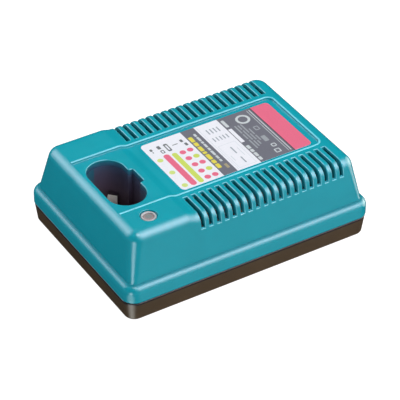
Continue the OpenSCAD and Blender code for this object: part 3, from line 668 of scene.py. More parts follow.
def make_fins():
    """Stiffening fins inside the wall, one behind each bar between the slots."""
    b = Build()

    def line(off):
        pts = [(by(49.5) - off / math.cos(AY), 49.5)]
        for i in range(7):
            th = AY + (math.pi / 2 - AY) * i / 6
            pts.append((by(LOW_Z) - KY * R_TOP + (R_TOP - off) * math.cos(th), LOW_Z - R_TOP + (R_TOP - off) * math.sin(th)))
        return pts + [(34.9, LOW_Z - off)]

    far, near = line(WALL - 0.6), line(WALL + 4.0)
    for k in range(VENT_N - 1):
        x = VENT_X0 + VENT_P * (k + 0.5)
        for s in (1, -1):
            loop = far + list(reversed(near))
            b.quads([(x - 0.75, s * y, z) for y, z in loop], [(x + 0.75, s * y, z) for y, z in loop], wrap=True)
            for q in (x - 0.75, x + 0.75):
                b.quads([(q, s * y, z) for y, z in far], [(q, s * y, z) for y, z in near])
    return b.done("vent_fins")


def lathe(name, rings, at, n=64, axis="Z"):
    """Turned pieces. rings: closed list of (radius, height) profiles; at: one or more places."""
    b = Build()
    for p in at:
        rows = []
        for r, h in rings:
            row = []
            for i in range(n):
                a = 2 * math.pi * i / n
                u, v = r * math.cos(a), r * math.sin(a)
                row.append((p[0] + u, p[1] + v, p[2] + h) if axis == "Z" else (p[0] + h, p[1] + u, p[2] + v))
            rows.append(row)
        closed = rings[0] != rings[-1] and rings[0][0] > 0.01 and rings[-1][0] > 0.01
        cols_ = list(zip(*rows))
        b.grid([list(c) + ([c[0]] if closed else []) for c in cols_], wrap=True)
    return b.done(name)


def cut(ob, pieces):
    """Cuts turned seats out of a shell."""
    for k, (x, r, l) in enumerate(pieces):
        bpy.ops.mesh.primitive_cylinder_add(vertices=96, radius=r / 1000, depth=l / 1000, location=((x + l / 2) / 1000, 0, SEAM_Z / 1000), rotation=(0, math.pi / 2, 0))
        c = bpy.context.active_object
        m = ob.modifiers.new("cut%d" % k, "BOOLEAN")
        m.operation = "DIFFERENCE"
        m.solver = "EXACT"
        m.object = c
        apply_modifiers(ob)
        me = c.data
        bpy.data.objects.remove(c)
        bpy.data.meshes.remove(me)


base = make_base()
posts = make_posts()
bead = make_bead()
fins = make_fins()
GLAND_CUTS = [(HL - 6.0, 6.05, 10.0), (HL - 1.2, 7.6, 5.0)]
cut(top, GLAND_CUTS)
cut(base, [(HL - 20.0, 7.7, 17.0)] + GLAND_CUTS)


def tidy(ob, sharp=40.0):
    bm = bmesh.new()
    bm.from_mesh(ob.data)
    bmesh.ops.remove_doubles(bm, verts=bm.verts, dist=0.002 / 1000)
    bmesh.ops.recalc_face_normals(bm, faces=bm.faces)
    bad = [e for e in bm.edges if len(e.link_faces) != 2]
    print("TIDY", ob.name, len(bm.verts), len(bm.faces), "open edges", len(bad))
    bm.to_mesh(ob.data)
    bm.free()
    smooth(ob, sharp)


for o in (top, base, posts, bead, fins):
    tidy(o)

# ------------------------------------------------------------------ small turned pieces
feet = lathe("rubber_feet_turned", [(0.0, 0.0), (5.4, 0.0), (6.3, 0.12), (6.75, 0.38), (7.0, 0.8), (7.0, 1.9), (6.9, 2.0), (0.0, 2.0)], [(x, y, 0.0) for x, y in FEET])
x0 = HL
gland = lathe("cord_gland_turned", [(3.6, -11.0), (3.6, -0.45), (3.72, -0.15), (4.0, 0.0), (5.0, 0.0), (5.15, -0.12), (5.2, -0.3), (5.3, -0.42), (5.6, -0.42), (5.75, -0.3), (5.85, -0.1), (6.1, 0.0), (7.1, 0.0), (7.4, -0.12), (7.5, -0.4), (7.5, -1.1), (7.4, -1.2), (6.0, -1.2), (6.0, -3.1), (7.3, -3.1), (7.4, -3.2), (7.4, -4.7), (7.3, -4.8), (5.3, -4.8), (5.2, -4.9), (5.2, -11.0)], [(x0, 0.0, SEAM_Z)], n=72, axis="X")
lx, ly = LAMP
lamp_ring = lathe("lamp_ring_turned", [(3.8, -2.1), (3.8, -0.95), (3.86, -0.8), (4.0, -0.66), (4.25, -0.55), (4.55, -0.5), (4.8, -0.53), (4.98, -0.63), (5.07, -0.78), (5.1, -0.95), (5.1, -2.1)], [(lx, ly, TOP_Z)])
lamp_lens = lathe("lamp_lens_turned", [(0.0, -4.6), (4.5, -4.6), (4.5, -3.2), (3.76, -3.2), (3.76, -1.5), (3.7, -1.36), (3.5, -1.24), (3.0, -1.08), (2.2, -0.92), (1.2, -0.82), (0.0, -0.78)], [(lx, ly, TOP_Z)])
for o in (feet, gland, lamp_ring, lamp_lens):
    tidy(o, 50.0)


# ------------------------------------------------------------------ contacts: bent strip with rounded edges
def blade_piece(name, s, ang):
    """Sprung leaf: rises from the holder, bows into the socket and turns back at its tip."""
    prof = [(12.0, 16.2), (11.62, 20.0), (11.2, 24.0), (10.78, 28.0), (10.52, 30.2), (10.46, 31.0), (10.52, 31.8), (10.74, 32.9), (11.02, 34.05)]
    t = 0.3
    w = 3.5
    a = math.radians(s * ang - 90)
    ca, sa = math.cos(a), math.sin(a)
    b = Build()
    # rounded cross-section of the strip
    sec = []
    for u, v in ((-w, -t + 0.12), (-w + 0.04, -t + 0.04), (-w + 0.12, -t), (w - 0.12, -t), (w - 0.04, -t + 0.04), (w, -t + 0.12), (w, t - 0.12), (w - 0.04, t - 0.04), (w - 0.12, t), (-w + 0.12, t), (-w + 0.04, t - 0.04), (-w, t - 0.12)):
        sec.append((u, v))
    rows = []
    for k, (y, z) in enumerate(prof):
        a0, a1 = prof[max(k - 1, 0)], prof[min(k + 1, len(prof) - 1)]
        dy, dz = a1[0] - a0[0], a1[1] - a0[1]
        l = math.hypot(dy, dz)
        ny, nz = dz / l, -dy / l
        taper = 1.0 if k < len(prof) - 2 else (0.995 if k == len(prof) - 2 else 0.93)
        rows.append([(u * taper, y + ny * v, z + nz * v) for u, v in sec])
    tip = rows[-1]
    rows.append([(p[0] * 0.97, p[1] * 0.3 + (prof[-1][0] + 0.03) * 0.7, p[2] * 0.3 + (prof[-1][1] + 0.12) * 0.7) for p in tip])
    foot = rows[0]
    rows = [[(p[0], p[1], p[2] - 0.35) for p in foot]] + rows

    def place(p):
        return (WELL_X + p[0] * ca - p[1] * sa, s * WELL_C + p[0] * sa + p[1] * ca, p[2])

    rows = [[place(p) for p in r] for r in rows]
    b.grid(list(zip(*rows)), wrap=True)
    for r, flip in ((rows[0], True), (rows[-1], False)):
        ids = [b.pt(p) for p in r]
        c = b.pt(tuple(sum(p[k] for p in r) / len(r) for k in range(3)))
        for i in range(len(ids)):
            b.f.append((ids[i], ids[(i + 1) % len(ids)], c))
    o = b.done(name)
    tidy(o, 50.0)
    return o


contacts = {
    "positive_contact": blade_piece("positive_contact_leaf", 1, 42.0),
    "negative_contact": blade_piece("negative_contact_leaf", -1, 42.0),
    "sense_contact": blade_piece("sense_contact_leaf", 1, 138.0),
}


# ------------------------------------------------------------------ label, cut from one sheet in its printed colours
def box_shape(x0, y0, x1, y1, r=0.0):
    """Rounded rectangle from its corners."""
    x0, x1, y0, y1 = min(x0, x1), max(x0, x1), min(y0, y1), max(y0, y1)
    if r <= 0:
        return [(x0, y0), (x1, y0), (x1, y1), (x0, y1)]
    out = []
    for cx, cy, a0 in ((x1 - r, y1 - r, 0), (x0 + r, y1 - r, 90), (x0 + r, y0 + r, 180), (x1 - r, y0 + r, 270)):
        for i in range(9):
            a = math.radians(a0 + 90 * i / 8)
            out.append((cx + r * math.cos(a), cy + r * math.sin(a)))
    return out


def dot(x, y, r, n=32):
    return [(x + r * math.cos(2 * math.pi * i / n), y + r * math.sin(2 * math.pi * i / n)) for i in range(n)]


def label_shapes():
    S = []  # (outline, colour)
    lx0, lx1, ly1 = -30.2, 72.0, 28.6
    S.append((box_shape(1.6, -ly1, 12.2, ly1), "grey"))
    S.append((box_shape(30.7, -ly1, 57.4, ly1), "grey"))
    S.append((box_shape(57.4, -ly1, 58.1, ly1), "dark"))
    S.append((box_shape(58.1, -ly1, lx1, ly1), "pink"))
    # chart: bars and dots
    S.append((box_shape(-22.3, 11.6, -17.8, -27.3, 2.2), "pink"))
    S.append((box_shape(-16.3, 10.4, -12.5, -27.2, 1.85), "lime"))
    for y in (7.6, -8.0, -24.2):
        S.append((dot(-26.2, y, 2.1), "pale_lime"))
    for y in (7.9, 0.1, -7.9, -16.1, -24.0):
        S.append((dot(-8.4, y, 2.25), "pink"))
    for k, y in enumerate((8.0, -0.1, -8.0, -16.3, -24.1)):
        S.append((dot(-2.6, y, 2.2), "pink" if k % 2 == 0 else "lime"))
    # plain marks at the head of each chart column
    S.append((box_shape(-26.7, 21.8, -24.9, 19.2, 0.5), "mark"))
    S.append((box_shape(-26.2, 18.2, -25.4, 16.9, 0.3), "mark"))
    S.append((box_shape(-21.0, 22.6, -18.6, 18.8, 0.6), "mark"))
    S.append((box_shape(-20.9, 17.2, -18.3, 13.4, 0.6), "mark"))
    S.append((box_shape(-20.2, 16.4, -19.0, 14.2, 0.4), "white"))
    S.append((box_shape(-15.9, 22.4, -12.9, 13.4, 1.0), "mark"))
    S.append((box_shape(-15.0, 20.9, -13.8, 14.9, 0.6), "white"))
    S.append((box_shape(-10.5, 18.7, -6.2, 17.9, 0.4), "mark"))
    S.append((box_shape(-3.6, 21.4, -1.6, 18.2, 0.6), "mark"))
    S.append((box_shape(-2.5, 16.6, -0.5, 13.2, 0.6), "mark"))
    # dark strip: a row of short yellow bars and a row of thin pale bars, without lettering
    y = 20.2
    for l in (6.2, 4.4, 5.6, 2.6, 6.4, 4.0, 5.2):
        S.append((box_shape(2.6, y, 5.6, y - l, 0.8), "yellow"))
        y -= l + 0.95
    y = 22.0
    for l in (3.4, 5.2, 2.6, 4.4, 3.2, 5.6, 4.0, 2.8):
        S.append((box_shape(7.9, y, 9.7, y - l, 0.5), "pale"))
        y -= l + 0.7
    S.append((box_shape(8.0, -17.4, 10.2, -22.6, 0.6), "tan"))
    # pale field with fine rules
    S.append((box_shape(13.6, 27.2, 13.9, -27.6), "line"))
    for k in range(4):
        x = 17.6 + 2.7 * k
        S.append((box_shape(x, 21.6, x + 1.0, 15.9, 0.3), "rule"))
    for k in range(5):
        x = 16.6 + 2.6 * k
        S.append((box_shape(x, 11.4, x + 0.9, 6.6, 0.3), "rule"))
    S.append((box_shape(15.0, 1.2, 28.4, 0.9), "line"))
    S.append((box_shape(15.0, 0.9, 15.25, -26.4), "line"))
    S.append((box_shape(28.15, 0.9, 28.4, -26.4), "line"))
    S.append((box_shape(15.0, -26.4, 28.4, -26.65), "line"))
    S.append((box_shape(21.7, -3.4, 22.7, -11.6, 0.4), "rule"))
    S.append((box_shape(21.8, -16.2, 22.8, -23.6, 0.4), "rule"))
    S.append((box_shape(16.8, -12.0, 17.4, -18.4, 0.25), "line"))
    S.append((box_shape(25.6, -6.0, 26.1, -16.0, 0.2), "line"))
    # dark field: bars only
    S.append((box_shape(31.3, 14.4, 34.1, -3.0, 0.3), "white"))
    y = -7.6
    for l in (4.2, 3.4, 4.6, 3.8):
        S.append((box_shape(31.6, y, 34.0, y - l, 0.5), "pale"))
        y -= l + 0.9
    S.append((box_shape(31.9, 25.6, 34.3, 16.8, 0.9), "pale"))
    S.append((dot(46.6, 19.6, 5.2, 48), "pale"))
    S.append((dot(46.6, 19.6, 3.4, 48), "grey"))
    for x, runs in ((36.9, (15.6, 9.8, 6.4, 11.0)), (39.2, (15.2, 5.6, 12.4, 7.2)), (41.5, (15.4, 11.2, 8.0, 4.8)), (43.8, (8.2, 7.4, 6.6))):
        y = runs[0]
        for l in runs[1:]:
            S.append((box_shape(x, y, x + 1.1, y - l, 0.35), "dim"))
            y -= l + 1.1
    S.append((box_shape(47.4, 8.6, 51.2, 3.8, 0.8), "dim"))
    S.append((box_shape(48.2, 7.7, 50.4, 4.7, 0.5), "grey"))
    S.append((box_shape(46.0, -3.4, 49.4, -10.2, 0.8), "dim"))
    S.append((box_shape(47.0, -14.2, 50.6, -18.0, 0.9), "pale"))
    S.append((box_shape(47.7, -15.0, 49.9, -17.2, 0.5), "grey"))
    S.append((box_shape(45.6, -20.6, 49.8, -25.0, 0.6), "pale"))
    S.append((box_shape(46.4, -21.4, 49.0, -24.2, 0.4), "grey"))
    S.append((box_shape(53.9, 26.8, 54.3, -26.8), "pale"))
    S.append((box_shape(55.6, 26.8, 56.3, -26.8), "pale"))
    return S


LABEL_COLOURS = ["white", "grey", "dark", "pink", "lime", "pale_lime", "mark", "yellow", "pale", "tan", "line", "rule", "dim"]


def make_label():
    shapes = label_shapes()
    z0, z1 = LOW_Z - PANEL_D, LOW_Z - PANEL_D + 0.2
    outline = box_shape(-30.2, -28.6, 72.0, 28.6, 3.0)
    edge = 0.08
    inner = box_shape(-30.2 + edge, -28.6 + edge, 72.0 - edge, 28.6 - edge, 3.0 - edge)

    def clip(p):
        return (min(max(p[0], -30.2 + edge), 72.0 - edge), min(max(p[1], -28.6 + edge), 28.6 - edge))

    loops = [inner] + [[clip(p) for p in s] for s, _ in shapes]
    pts, faces = [], []
    for l in loops:
        m = len(l)
        if sum(l[i][0] * l[(i + 1) % m][1] - l[(i + 1) % m][0] * l[i][1] for i in range(m)) < 0:
            l = list(reversed(l))
        s = len(pts)
        pts += l
        faces.append(list(range(s, s + m)))
    vc, _, tris, _, _, of = delaunay_2d_cdt([Vector(p) for p in pts], [], faces, 1, 1e-5)
    b = Build()
    ids = [b.pt((v[0], v[1], z1)) for v in vc]
    slots = []
    for t, f in zip(tris, of):
        if 0 not in f:
            continue
        k = max(f)
        slots.append(0 if k == 0 else LABEL_COLOURS.index(shapes[k - 1][1]))
        b.f.append(tuple(ids[i] for i in t))
    # edge and underside; the top's outline has extra points where the colours meet it
    n_top = len(b.f)
    me = bpy.data.meshes.new("label_top")
    me.from_pydata([(p[0] / 1000, p[1] / 1000, p[2] / 1000) for p in b.v], [], b.f)
    bm = bmesh.new()
    bm.from_mesh(me)
    for f, s in zip(bm.faces, slots):
        f.material_index = s
    bmesh.ops.remove_doubles(bm, verts=bm.verts, dist=1e-6)
    bmesh.ops.recalc_face_normals(bm, faces=bm.faces)
    rim = [e for e in bm.edges if len(e.link_faces) == 1]
    ret = bmesh.ops.extrude_edge_only(bm, edges=rim)
    new_v = [g for g in ret["geom"] if isinstance(g, bmesh.types.BMVert)]
    cx, cy = 20.9 / 1000, 0.0
    for v in new_v:
        # the edge's lower ring stands a hair further out
        dx, dy = v.co.x - cx, v.co.y - cy
        v.co.x += math.copysign(edge / 1000, dx) if abs(abs(dx) - (51.1 - edge) / 1000) < 0.0004 else 0.0
        v.co.y += math.copysign(edge / 1000, dy) if abs(abs(dy) - (28.6 - edge) / 1000) < 0.0004 else 0.0
        v.co.z = (z1 - 0.09) / 1000
    rim2 = [e for e in bm.edges if len(e.link_faces) == 1]
    ret = bmesh.ops.extrude_edge_only(bm, edges=rim2)
    for v in [g for g in ret["geom"] if isinstance(g, bmesh.types.BMVert)]:
        v.co.z = z0 / 1000
    rim3 = [e for e in bm.edges if len(e.link_faces) == 1]
    bmesh.ops.contextual_create(bm, geom=rim3)
    bmesh.ops.recalc_face_normals(bm, faces=bm.faces)
    for f in bm.faces:
        if f.normal.z < 0.5:
            f.material_index = 0
    bad = [e for e in bm.edges if len(e.link_faces) != 2]
    print("LABEL", len(bm.verts), len(bm.faces), "open edges", len(bad))
    bm.to_mesh(me)
    bm.free()
    me.name = "instruction_label_sheet"
    o = bpy.data.objects.new("instruction_label_sheet", me)
    bpy.context.scene.collection.objects.link(o)
    return o


label = make_label()


# ------------------------------------------------------------------ materials
class Mat:
    def __init__(self, name):
        self.m = bpy.data.materials.new(name)
        self.m.use_nodes = True
        self.nt = self.m.node_tree
        self.nt.nodes.clear()
        self.out = self.nt.nodes.new("ShaderNodeOutputMaterial")
        self.b = self.nt.nodes.new("ShaderNodeBsdfPrincipled")
        self.nt.links.new(self.b.outputs[0], self.out.inputs[0])
        self.co = self.nt.nodes.new("ShaderNodeTexCoord").outputs["Object"]

    def link(self, a, b):
        self.nt.links.new(a, b)

    def noise(self, scale, detail=2.0, rough=0.5, stretch=None, distortion=0.0):
        co = self.co
        if stretch:
            mp = self.nt.nodes.new("ShaderNodeMapping")
            mp.inputs["Scale"].default_value = stretch
            self.link(co, mp.inputs[0])
            co = mp.outputs[0]
        n = self.nt.nodes.new("ShaderNodeTexNoise")
        n.inputs["Scale"].default_value = scale
        n.inputs["Detail"].default_value = detail
        n.inputs["Roughness"].default_value = rough
        n.inputs["Distortion"].default_value = distortion
        self.link(co, n.inputs["Vector"])
        return n.outputs["Fac"]

    def ramp(self, fac, stops):
        r = self.nt.nodes.new("ShaderNodeValToRGB")
        e = r.color_ramp.elements
        while len(e) < len(stops):
            e.new(0.5)
        for k, (p, c) in enumerate(stops):
            e[k].position = p
            e[k].color = (*c, 1.0) if len(c) == 3 else c
        self.link(fac, r.inputs[0])
        return r.outputs[0]

    def math(self, op, a, b=None, c=None):
        n = self.nt.nodes.new("ShaderNodeMath")
        n.operation = op
        for k, v in enumerate((a, b, c)):
            if v is None:
                continue
            if isinstance(v, (int, float)):
                n.inputs[k].default_value = v
            else:
                self.link(v, n.inputs[k])
        return n.outputs[0]

    def mix(self, fac, a, b, mode="MIX"):
        n = self.nt.nodes.new("ShaderNodeMix")
        n.data_type = "RGBA"
        n.blend_type = mode
        for sock, v in ((n.inputs[0], fac), (n.inputs[6], a), (n.inputs[7], b)):
            if isinstance(v, (int, float)):
                sock.default_value = v
            elif isinstance(v, tuple):
                sock.default_value = (*v, 1.0)
            else:
                self.link(v, sock)
        return n.outputs[2]

    def range(self, v, lo, hi, a=0.0, b=1.0):
        n = self.nt.nodes.new("ShaderNodeMapRange")
        n.inputs["From Min"].default_value = a
        n.inputs["From Max"].default_value = b
        n.inputs["To Min"].default_value = lo
        n.inputs["To Max"].default_value = hi
        self.link(v, n.inputs[0])
        return n.outputs[0]

    def bump(self, height, dist, strength=1.0, normal=None):
        n = self.nt.nodes.new("ShaderNodeBump")
        n.inputs["Distance"].default_value = dist
        n.inputs["Strength"].default_value = strength
        self.link(height, n.inputs["Height"])
        if normal is not None:
            self.link(normal, n.inputs["Normal"])
        return n.outputs[0]

    def edges(self, lo, hi):
        """Mask of worn convex edges."""
        g = self.nt.nodes.new("ShaderNodeNewGeometry")
        return self.range(g.outputs["Pointiness"], 0.0, 1.0, lo, hi)


def plastic(name, colour, rough=0.34, grain=0.00002, vary=0.06, ior=1.46, wear=0.12, wear_colour=None, grain_scale=2200.0, blotch=45.0, speck_mix=0.10):
    """Moulded plastic: fine spark-eroded grain, faint flow mottling and rubbed edges."""
    m = Mat(name)
    dark = tuple(c * (1 - vary) for c in colour)
    light = tuple(min(1.0, c * (1 + vary)) for c in colour)
    flow = m.noise(blotch, 3.0, 0.55, distortion=0.4)
    col = m.ramp(flow, [(0.32, dark), (0.68, light)])
    speck = m.noise(grain_scale * 0.7, 2.0, 0.6)
    col = m.mix(m.range(speck, 0.0, speck_mix, 0.35, 0.75), col, light)
    worn = m.math("MULTIPLY", m.edges(0.515, 0.56), m.range(m.noise(320.0, 3.0, 0.6), 0.25, 1.0, 0.3, 0.7))
    wc = wear_colour or tuple(min(1.0, c * 1.25 + 0.03) for c in colour)
    col = m.mix(m.math("MULTIPLY", worn, wear), col, wc)
    m.link(col, m.b.inputs["Base Color"])
    r = m.range(m.noise(grain_scale * 0.25, 2.0, 0.5), rough - 0.03, rough + 0.03, 0.3, 0.7)
    m.link(r, m.b.inputs["Roughness"])
    g = m.noise(grain_scale, 3.0, 0.6)
    m.link(m.bump(g, grain), m.b.inputs["Normal"])
    m.b.inputs["IOR"].default_value = ior
    return m


TEAL = (0.0030, 0.350, 0.436)
# convex edges get a lighter cyan tint through the wear mask: partly wear, partly a painted highlight along the edges
teal = plastic("teal_plastic_moulded", TEAL, rough=0.22, grain=0.000006, vary=0.03, wear=0.06, wear_colour=(0.03, 0.50, 0.60), speck_mix=0.04)
# painted highlight: the whole bead is a lighter teal than the housing, standing in for the highlight along its rounded
# top
bead_teal_painted_highlight = plastic("bead_plastic_painted_highlight", (0.11, 0.62, 0.74), rough=0.42, grain=0.000004, vary=0.03, wear=0.0, speck_mix=0.04)
dark = plastic("dark_plastic_moulded", (0.082, 0.052, 0.026), rough=0.34, grain=0.00001, vary=0.10, wear=0.35, wear_colour=(0.13, 0.11, 0.085))
# painted shadow: the top of the base, just under the seam with the skirt, is darkened almost to black
seam_geo = dark.nt.nodes.new("ShaderNodeSeparateXYZ")
dark.link(dark.co, seam_geo.inputs[0])
seam_painted_shadow = dark.range(seam_geo.outputs[2], 0.0, 0.85, SEAM_Z / 1000 - 0.0027, SEAM_Z / 1000 - 0.0019)
dark.link(dark.mix(seam_painted_shadow, dark.b.inputs["Base Color"].links[0].from_socket, (0.006, 0.008, 0.016)), dark.b.inputs["Base Color"])
black = plastic("black_plastic_moulded", (0.085, 0.055, 0.085), rough=0.42, grain=0.00002, vary=0.12, wear=0.3)


def sink_shade(m, stops, z0, z1, box=None):
    """Painted shade down in the socket: a colour by height, darker deeper down, with faint darker mottling, laid over
    the base colour inside the box, or in its place without one. With a box it also paints a highlight line round the
    socket's rim.
    """
    geo = m.nt.nodes.new("ShaderNodeNewGeometry")
    sep = m.nt.nodes.new("ShaderNodeSeparateXYZ")
    m.link(geo.outputs["Position"], sep.inputs[0])
    wob = m.math("MULTIPLY", m.math("SUBTRACT", m.noise(180.0, 3.0, 0.55), 0.5), 0.0016)
    t = m.range(m.math("ADD", sep.outputs[2], wob), 0.0, 1.0, z0, z1)
    col = m.ramp(t, stops)
    col = m.mix(m.range(m.noise(900.0, 3.0, 0.6), 0.0, 0.5, 0.35, 0.75), col, m.mix(0.15, col, (0.0, 0.0, 0.0)))
    if box:
        (cx, hx), (cy, hy), top_z = box
        inside = m.math("LESS_THAN", m.math("ABSOLUTE", m.math("SUBTRACT", sep.outputs[0], cx)), hx)
        inside = m.math("MULTIPLY", inside, m.math("LESS_THAN", m.math("ABSOLUTE", m.math("SUBTRACT", sep.outputs[1], cy)), hy))
        # painted highlight: a thin lighter-teal line round the socket's rim, just under the top
        rim = m.math("MULTIPLY", m.math("MULTIPLY", inside, band(m, sep.outputs[2], top_z, top_z + 0.0003, 0.0001)), 0.8)
        inside = m.math("MULTIPLY", inside, m.math("LESS_THAN", sep.outputs[2], top_z))
        col = m.mix(inside, m.b.inputs["Base Color"].links[0].from_socket, col)
        col = m.mix(rim, col, (0.09, 0.58, 0.70))
    else:
        # painted shade: the ends of the cup are painted a dim, shaded teal, strongest high up and fading out lower down
        far_end_shaded_teal = m.math("MULTIPLY", m.range(sep.outputs[0], 1.0, 0.0, -0.0672, -0.0660), m.range(sep.outputs[1], 0.0, 1.0, 0.0100, 0.0170))
        ends = m.math("MAXIMUM", far_end_shaded_teal, m.range(sep.outputs[1], 1.0, 0.0, -0.0180, -0.0060))
        ends = m.math("MULTIPLY", ends, m.range(sep.outputs[2], 0.0, 0.85, 0.036, 0.052))
        col = m.mix(ends, col, (0.015, 0.19, 0.28))
    m.link(col, m.b.inputs["Base Color"])


crease_z = teal.nt.nodes.new("ShaderNodeSeparateXYZ")
teal.link(teal.co, crease_z.inputs[0])


def band(m, v, lo, hi, soft):
    """1 between lo and hi, falling to 0 over soft on each side."""
    return m.math("MULTIPLY", m.range(v, 0.0, 1.0, lo - soft, lo), m.range(v, 1.0, 0.0, hi, hi + soft))


# slot rims: painted highlight, a lighter teal along both sides and round both ends
MM = 0.001
sx, sz = crease_z.outputs[0], crease_z.outputs[2]
sy = teal.math("ABSOLUTE", crease_z.outputs[1])
cell = teal.math("ABSOLUTE", teal.math("SUBTRACT", teal.math("FRACT", teal.math("MULTIPLY_ADD", sx, 1 / (VENT_P * MM), 0.5 - VENT_X0 / VENT_P + 40.0)), 0.5))
off = teal.math("MULTIPLY", cell, VENT_P * MM)
row = band(teal, sx, (VENT_X0 - VENT_P / 2) * MM, (VENT_X0 + (VENT_N - 0.5) * VENT_P) * MM, 0.0001)
along = teal.math("MULTIPLY", teal.math("MAXIMUM", teal.range(sz, 0.0, 1.0, (VENT_Z - 0.6) * MM, (VENT_Z - 0.4) * MM), 0.0), teal.range(sy, 0.0, 1.0, (VENT_Y - 0.6) * MM, (VENT_Y - 0.4) * MM))
side_rim_highlight = teal.math("MULTIPLY", band(teal, off, (VENT_W / 2 + 0.05) * MM, (VENT_W / 2 + 0.42) * MM, 0.00008), along)
in_slot = teal.range(off, 1.0, 0.0, (VENT_W / 2 + 0.2) * MM, (VENT_W / 2 + 0.5) * MM)
low_end = teal.math("MULTIPLY", band(teal, sz, (VENT_Z - 0.5) * MM, (VENT_Z - 0.06) * MM, 0.00008), teal.range(sy, 0.0, 1.0, 0.045, 0.046))
high_end = teal.math("MULTIPLY", band(teal, sy, (VENT_Y - 0.5) * MM, (VENT_Y - 0.06) * MM, 0.00008), teal.range(sz, 0.0, 1.0, 0.0590, 0.0600))
slot_rim_highlight = teal.math("MAXIMUM", side_rim_highlight, teal.math("MULTIPLY", in_slot, teal.math("MAXIMUM", low_end, high_end)))
slot_rim_highlight = teal.math("MULTIPLY", teal.math("MULTIPLY", slot_rim_highlight, row), teal.range(teal.noise(420.0, 3.0, 0.6), 0.55, 0.95, 0.3, 0.7))
teal.link(teal.mix(slot_rim_highlight, teal.b.inputs["Base Color"].links[0].from_socket, (0.10, 0.60, 0.72)), teal.b.inputs["Base Color"])
LIP_TOP = (SKIRT_Z - 4.25 + RL * math.sin(math.radians(70))) / 1000
# painted shade: the crease where the body meets the skirt's lip is darkened in colour; there its roughness also rises
# and its specular level drops
crease_dull_and_shade = teal.math("MULTIPLY", teal.range(crease_z.outputs[2], 0.0, 1.0, LIP_TOP - 0.0014, LIP_TOP - 0.0002), teal.range(crease_z.outputs[2], 1.0, 0.0, LIP_TOP + 0.0001, LIP_TOP + 0.0007))
teal.link(teal.math("MULTIPLY_ADD", crease_dull_and_shade, 0.15, teal.b.inputs["Roughness"].links[0].from_socket), teal.b.inputs["Roughness"])
teal.link(teal.math("MULTIPLY_ADD", crease_dull_and_shade, -0.42, 0.5), teal.b.inputs["Specular IOR Level"])
teal.link(teal.mix(teal.math("MULTIPLY", crease_dull_and_shade, 0.42), teal.b.inputs["Base Color"].links[0].from_socket, (0.002, 0.12, 0.16)), teal.b.inputs["Base Color"])
# painted shade: inside the socket the teal darkens downward to a dim blue-grey
sink_shade(teal, [(0.0, (0.085, 0.13, 0.23)), (0.35, (0.06, 0.18, 0.30)), (0.75, (0.035, 0.26, 0.37)), (1.0, TEAL)], 0.0560, 0.0612,
           ((-0.0627, 0.0165), (0.0, 0.0280), 0.0610))
# painted shade: the cup's colour runs from a dark brownish grey deep down to a dim blue at its top
cup = plastic("socket_plastic_painted_shade", (0.09, 0.07, 0.11), rough=0.42, grain=0.00002, vary=0.10, wear=0.2)
sink_shade(cup, [(0.0, (0.075, 0.045, 0.055)), (0.35, (0.12, 0.085, 0.13)), (0.75, (0.11, 0.10, 0.17)), (1.0, (0.085, 0.13, 0.23))], 0.030, 0.0564)


def metal(name, colour, rough=0.28, stretch=(1, 1, 1), scale=900.0, vary=0.12, bump=0.000006, metallic=1.0):
    """Metal with drawn or rolled streaks and slight tarnish."""
    m = Mat(name)
    dark_c = tuple(c * (1 - vary * 1.6) for c in colour)
    col = m.ramp(m.noise(140.0, 4.0, 0.6), [(0.3, dark_c), (0.62, colour)])
    streak = m.noise(scale, 3.0, 0.6, stretch=stretch)
    col = m.mix(m.range(streak, 0.0, 0.25, 0.4, 0.7), col, tuple(c * 0.7 for c in colour))
    m.link(col, m.b.inputs["Base Color"])
    m.link(m.range(streak, rough - 0.07, rough + 0.12, 0.3, 0.7), m.b.inputs["Roughness"])
    m.link(m.bump(streak, bump), m.b.inputs["Normal"])
    m.b.inputs["Metallic"].default_value = metallic
    return m


zinc = metal("zinc_screw_plated", (0.62, 0.63, 0.64), 0.3)
brass = metal("tinned_brass_sheet", (0.80, 0.66, 0.38), 0.3, stretch=(1, 1, 0.08))
leaf = metal("contact_metal_leaf", (0.98, 0.95, 0.84), 0.45, stretch=(1, 1, 0.06), metallic=0.1, vary=0.04)
alu = metal("sink_aluminium_extruded", (0.62, 0.63, 0.65), 0.36, stretch=(0.1, 1, 1))
copper = metal("copper_wire_enamelled", (0.60, 0.27, 0.10), 0.25, stretch=(1, 1, 0.2))


def label_ink(name, colour, rough=0.28):
    """Printed film: fine print grain, faint mottling and a satin varnish with light scuffs."""
    m = Mat(name)
    d = tuple(c * 0.965 for c in colour)
    col = m.ramp(m.noise(900.0, 2.0, 0.5), [(0.35, d), (0.65, colour)])
    scuff = m.noise(420.0, 3.0, 0.6)
    m.link(col, m.b.inputs["Base Color"])
    m.link(m.range(scuff, rough + 0.02, rough + 0.10, 0.35, 0.7), m.b.inputs["Roughness"])
    m.link(m.bump(m.noise(140.0, 2.0, 0.5), 0.00002), m.b.inputs["Normal"])
    m.b.inputs["IOR"].default_value = 1.45
    return m


def srgb(r, g, b):
    out = []
    for c in (r, g, b):
        c /= 255.0
        out.append(c / 12.92 if c <= 0.04045 else ((c + 0.055) / 1.055) ** 2.4)
    return tuple(out)


INK = {
    "white": srgb(238, 239, 247), "grey": srgb(110, 112, 123), "dark": srgb(70, 72, 80), "pink": srgb(232, 108, 138),
    "lime": srgb(203, 220, 98), "pale_lime": srgb(208, 226, 130), "mark": srgb(108, 114, 118), "yellow": srgb(228, 216, 78),
    "pale": srgb(205, 212, 215), "tan": srgb(168, 158, 128), "line": srgb(208, 216, 224), "rule": srgb(158, 168, 178), "dim": srgb(158, 164, 170),
}
for k in LABEL_COLOURS:
    label.data.materials.append(label_ink("label_film_" + k, INK[k]).m)


def dress(ob, m):
    """One material on every slot of an object."""
    mt = m.m if isinstance(m, Mat) else m
    if not ob.material_slots:
        ob.data.materials.append(mt)
    for s in ob.material_slots:
        s.material = mt


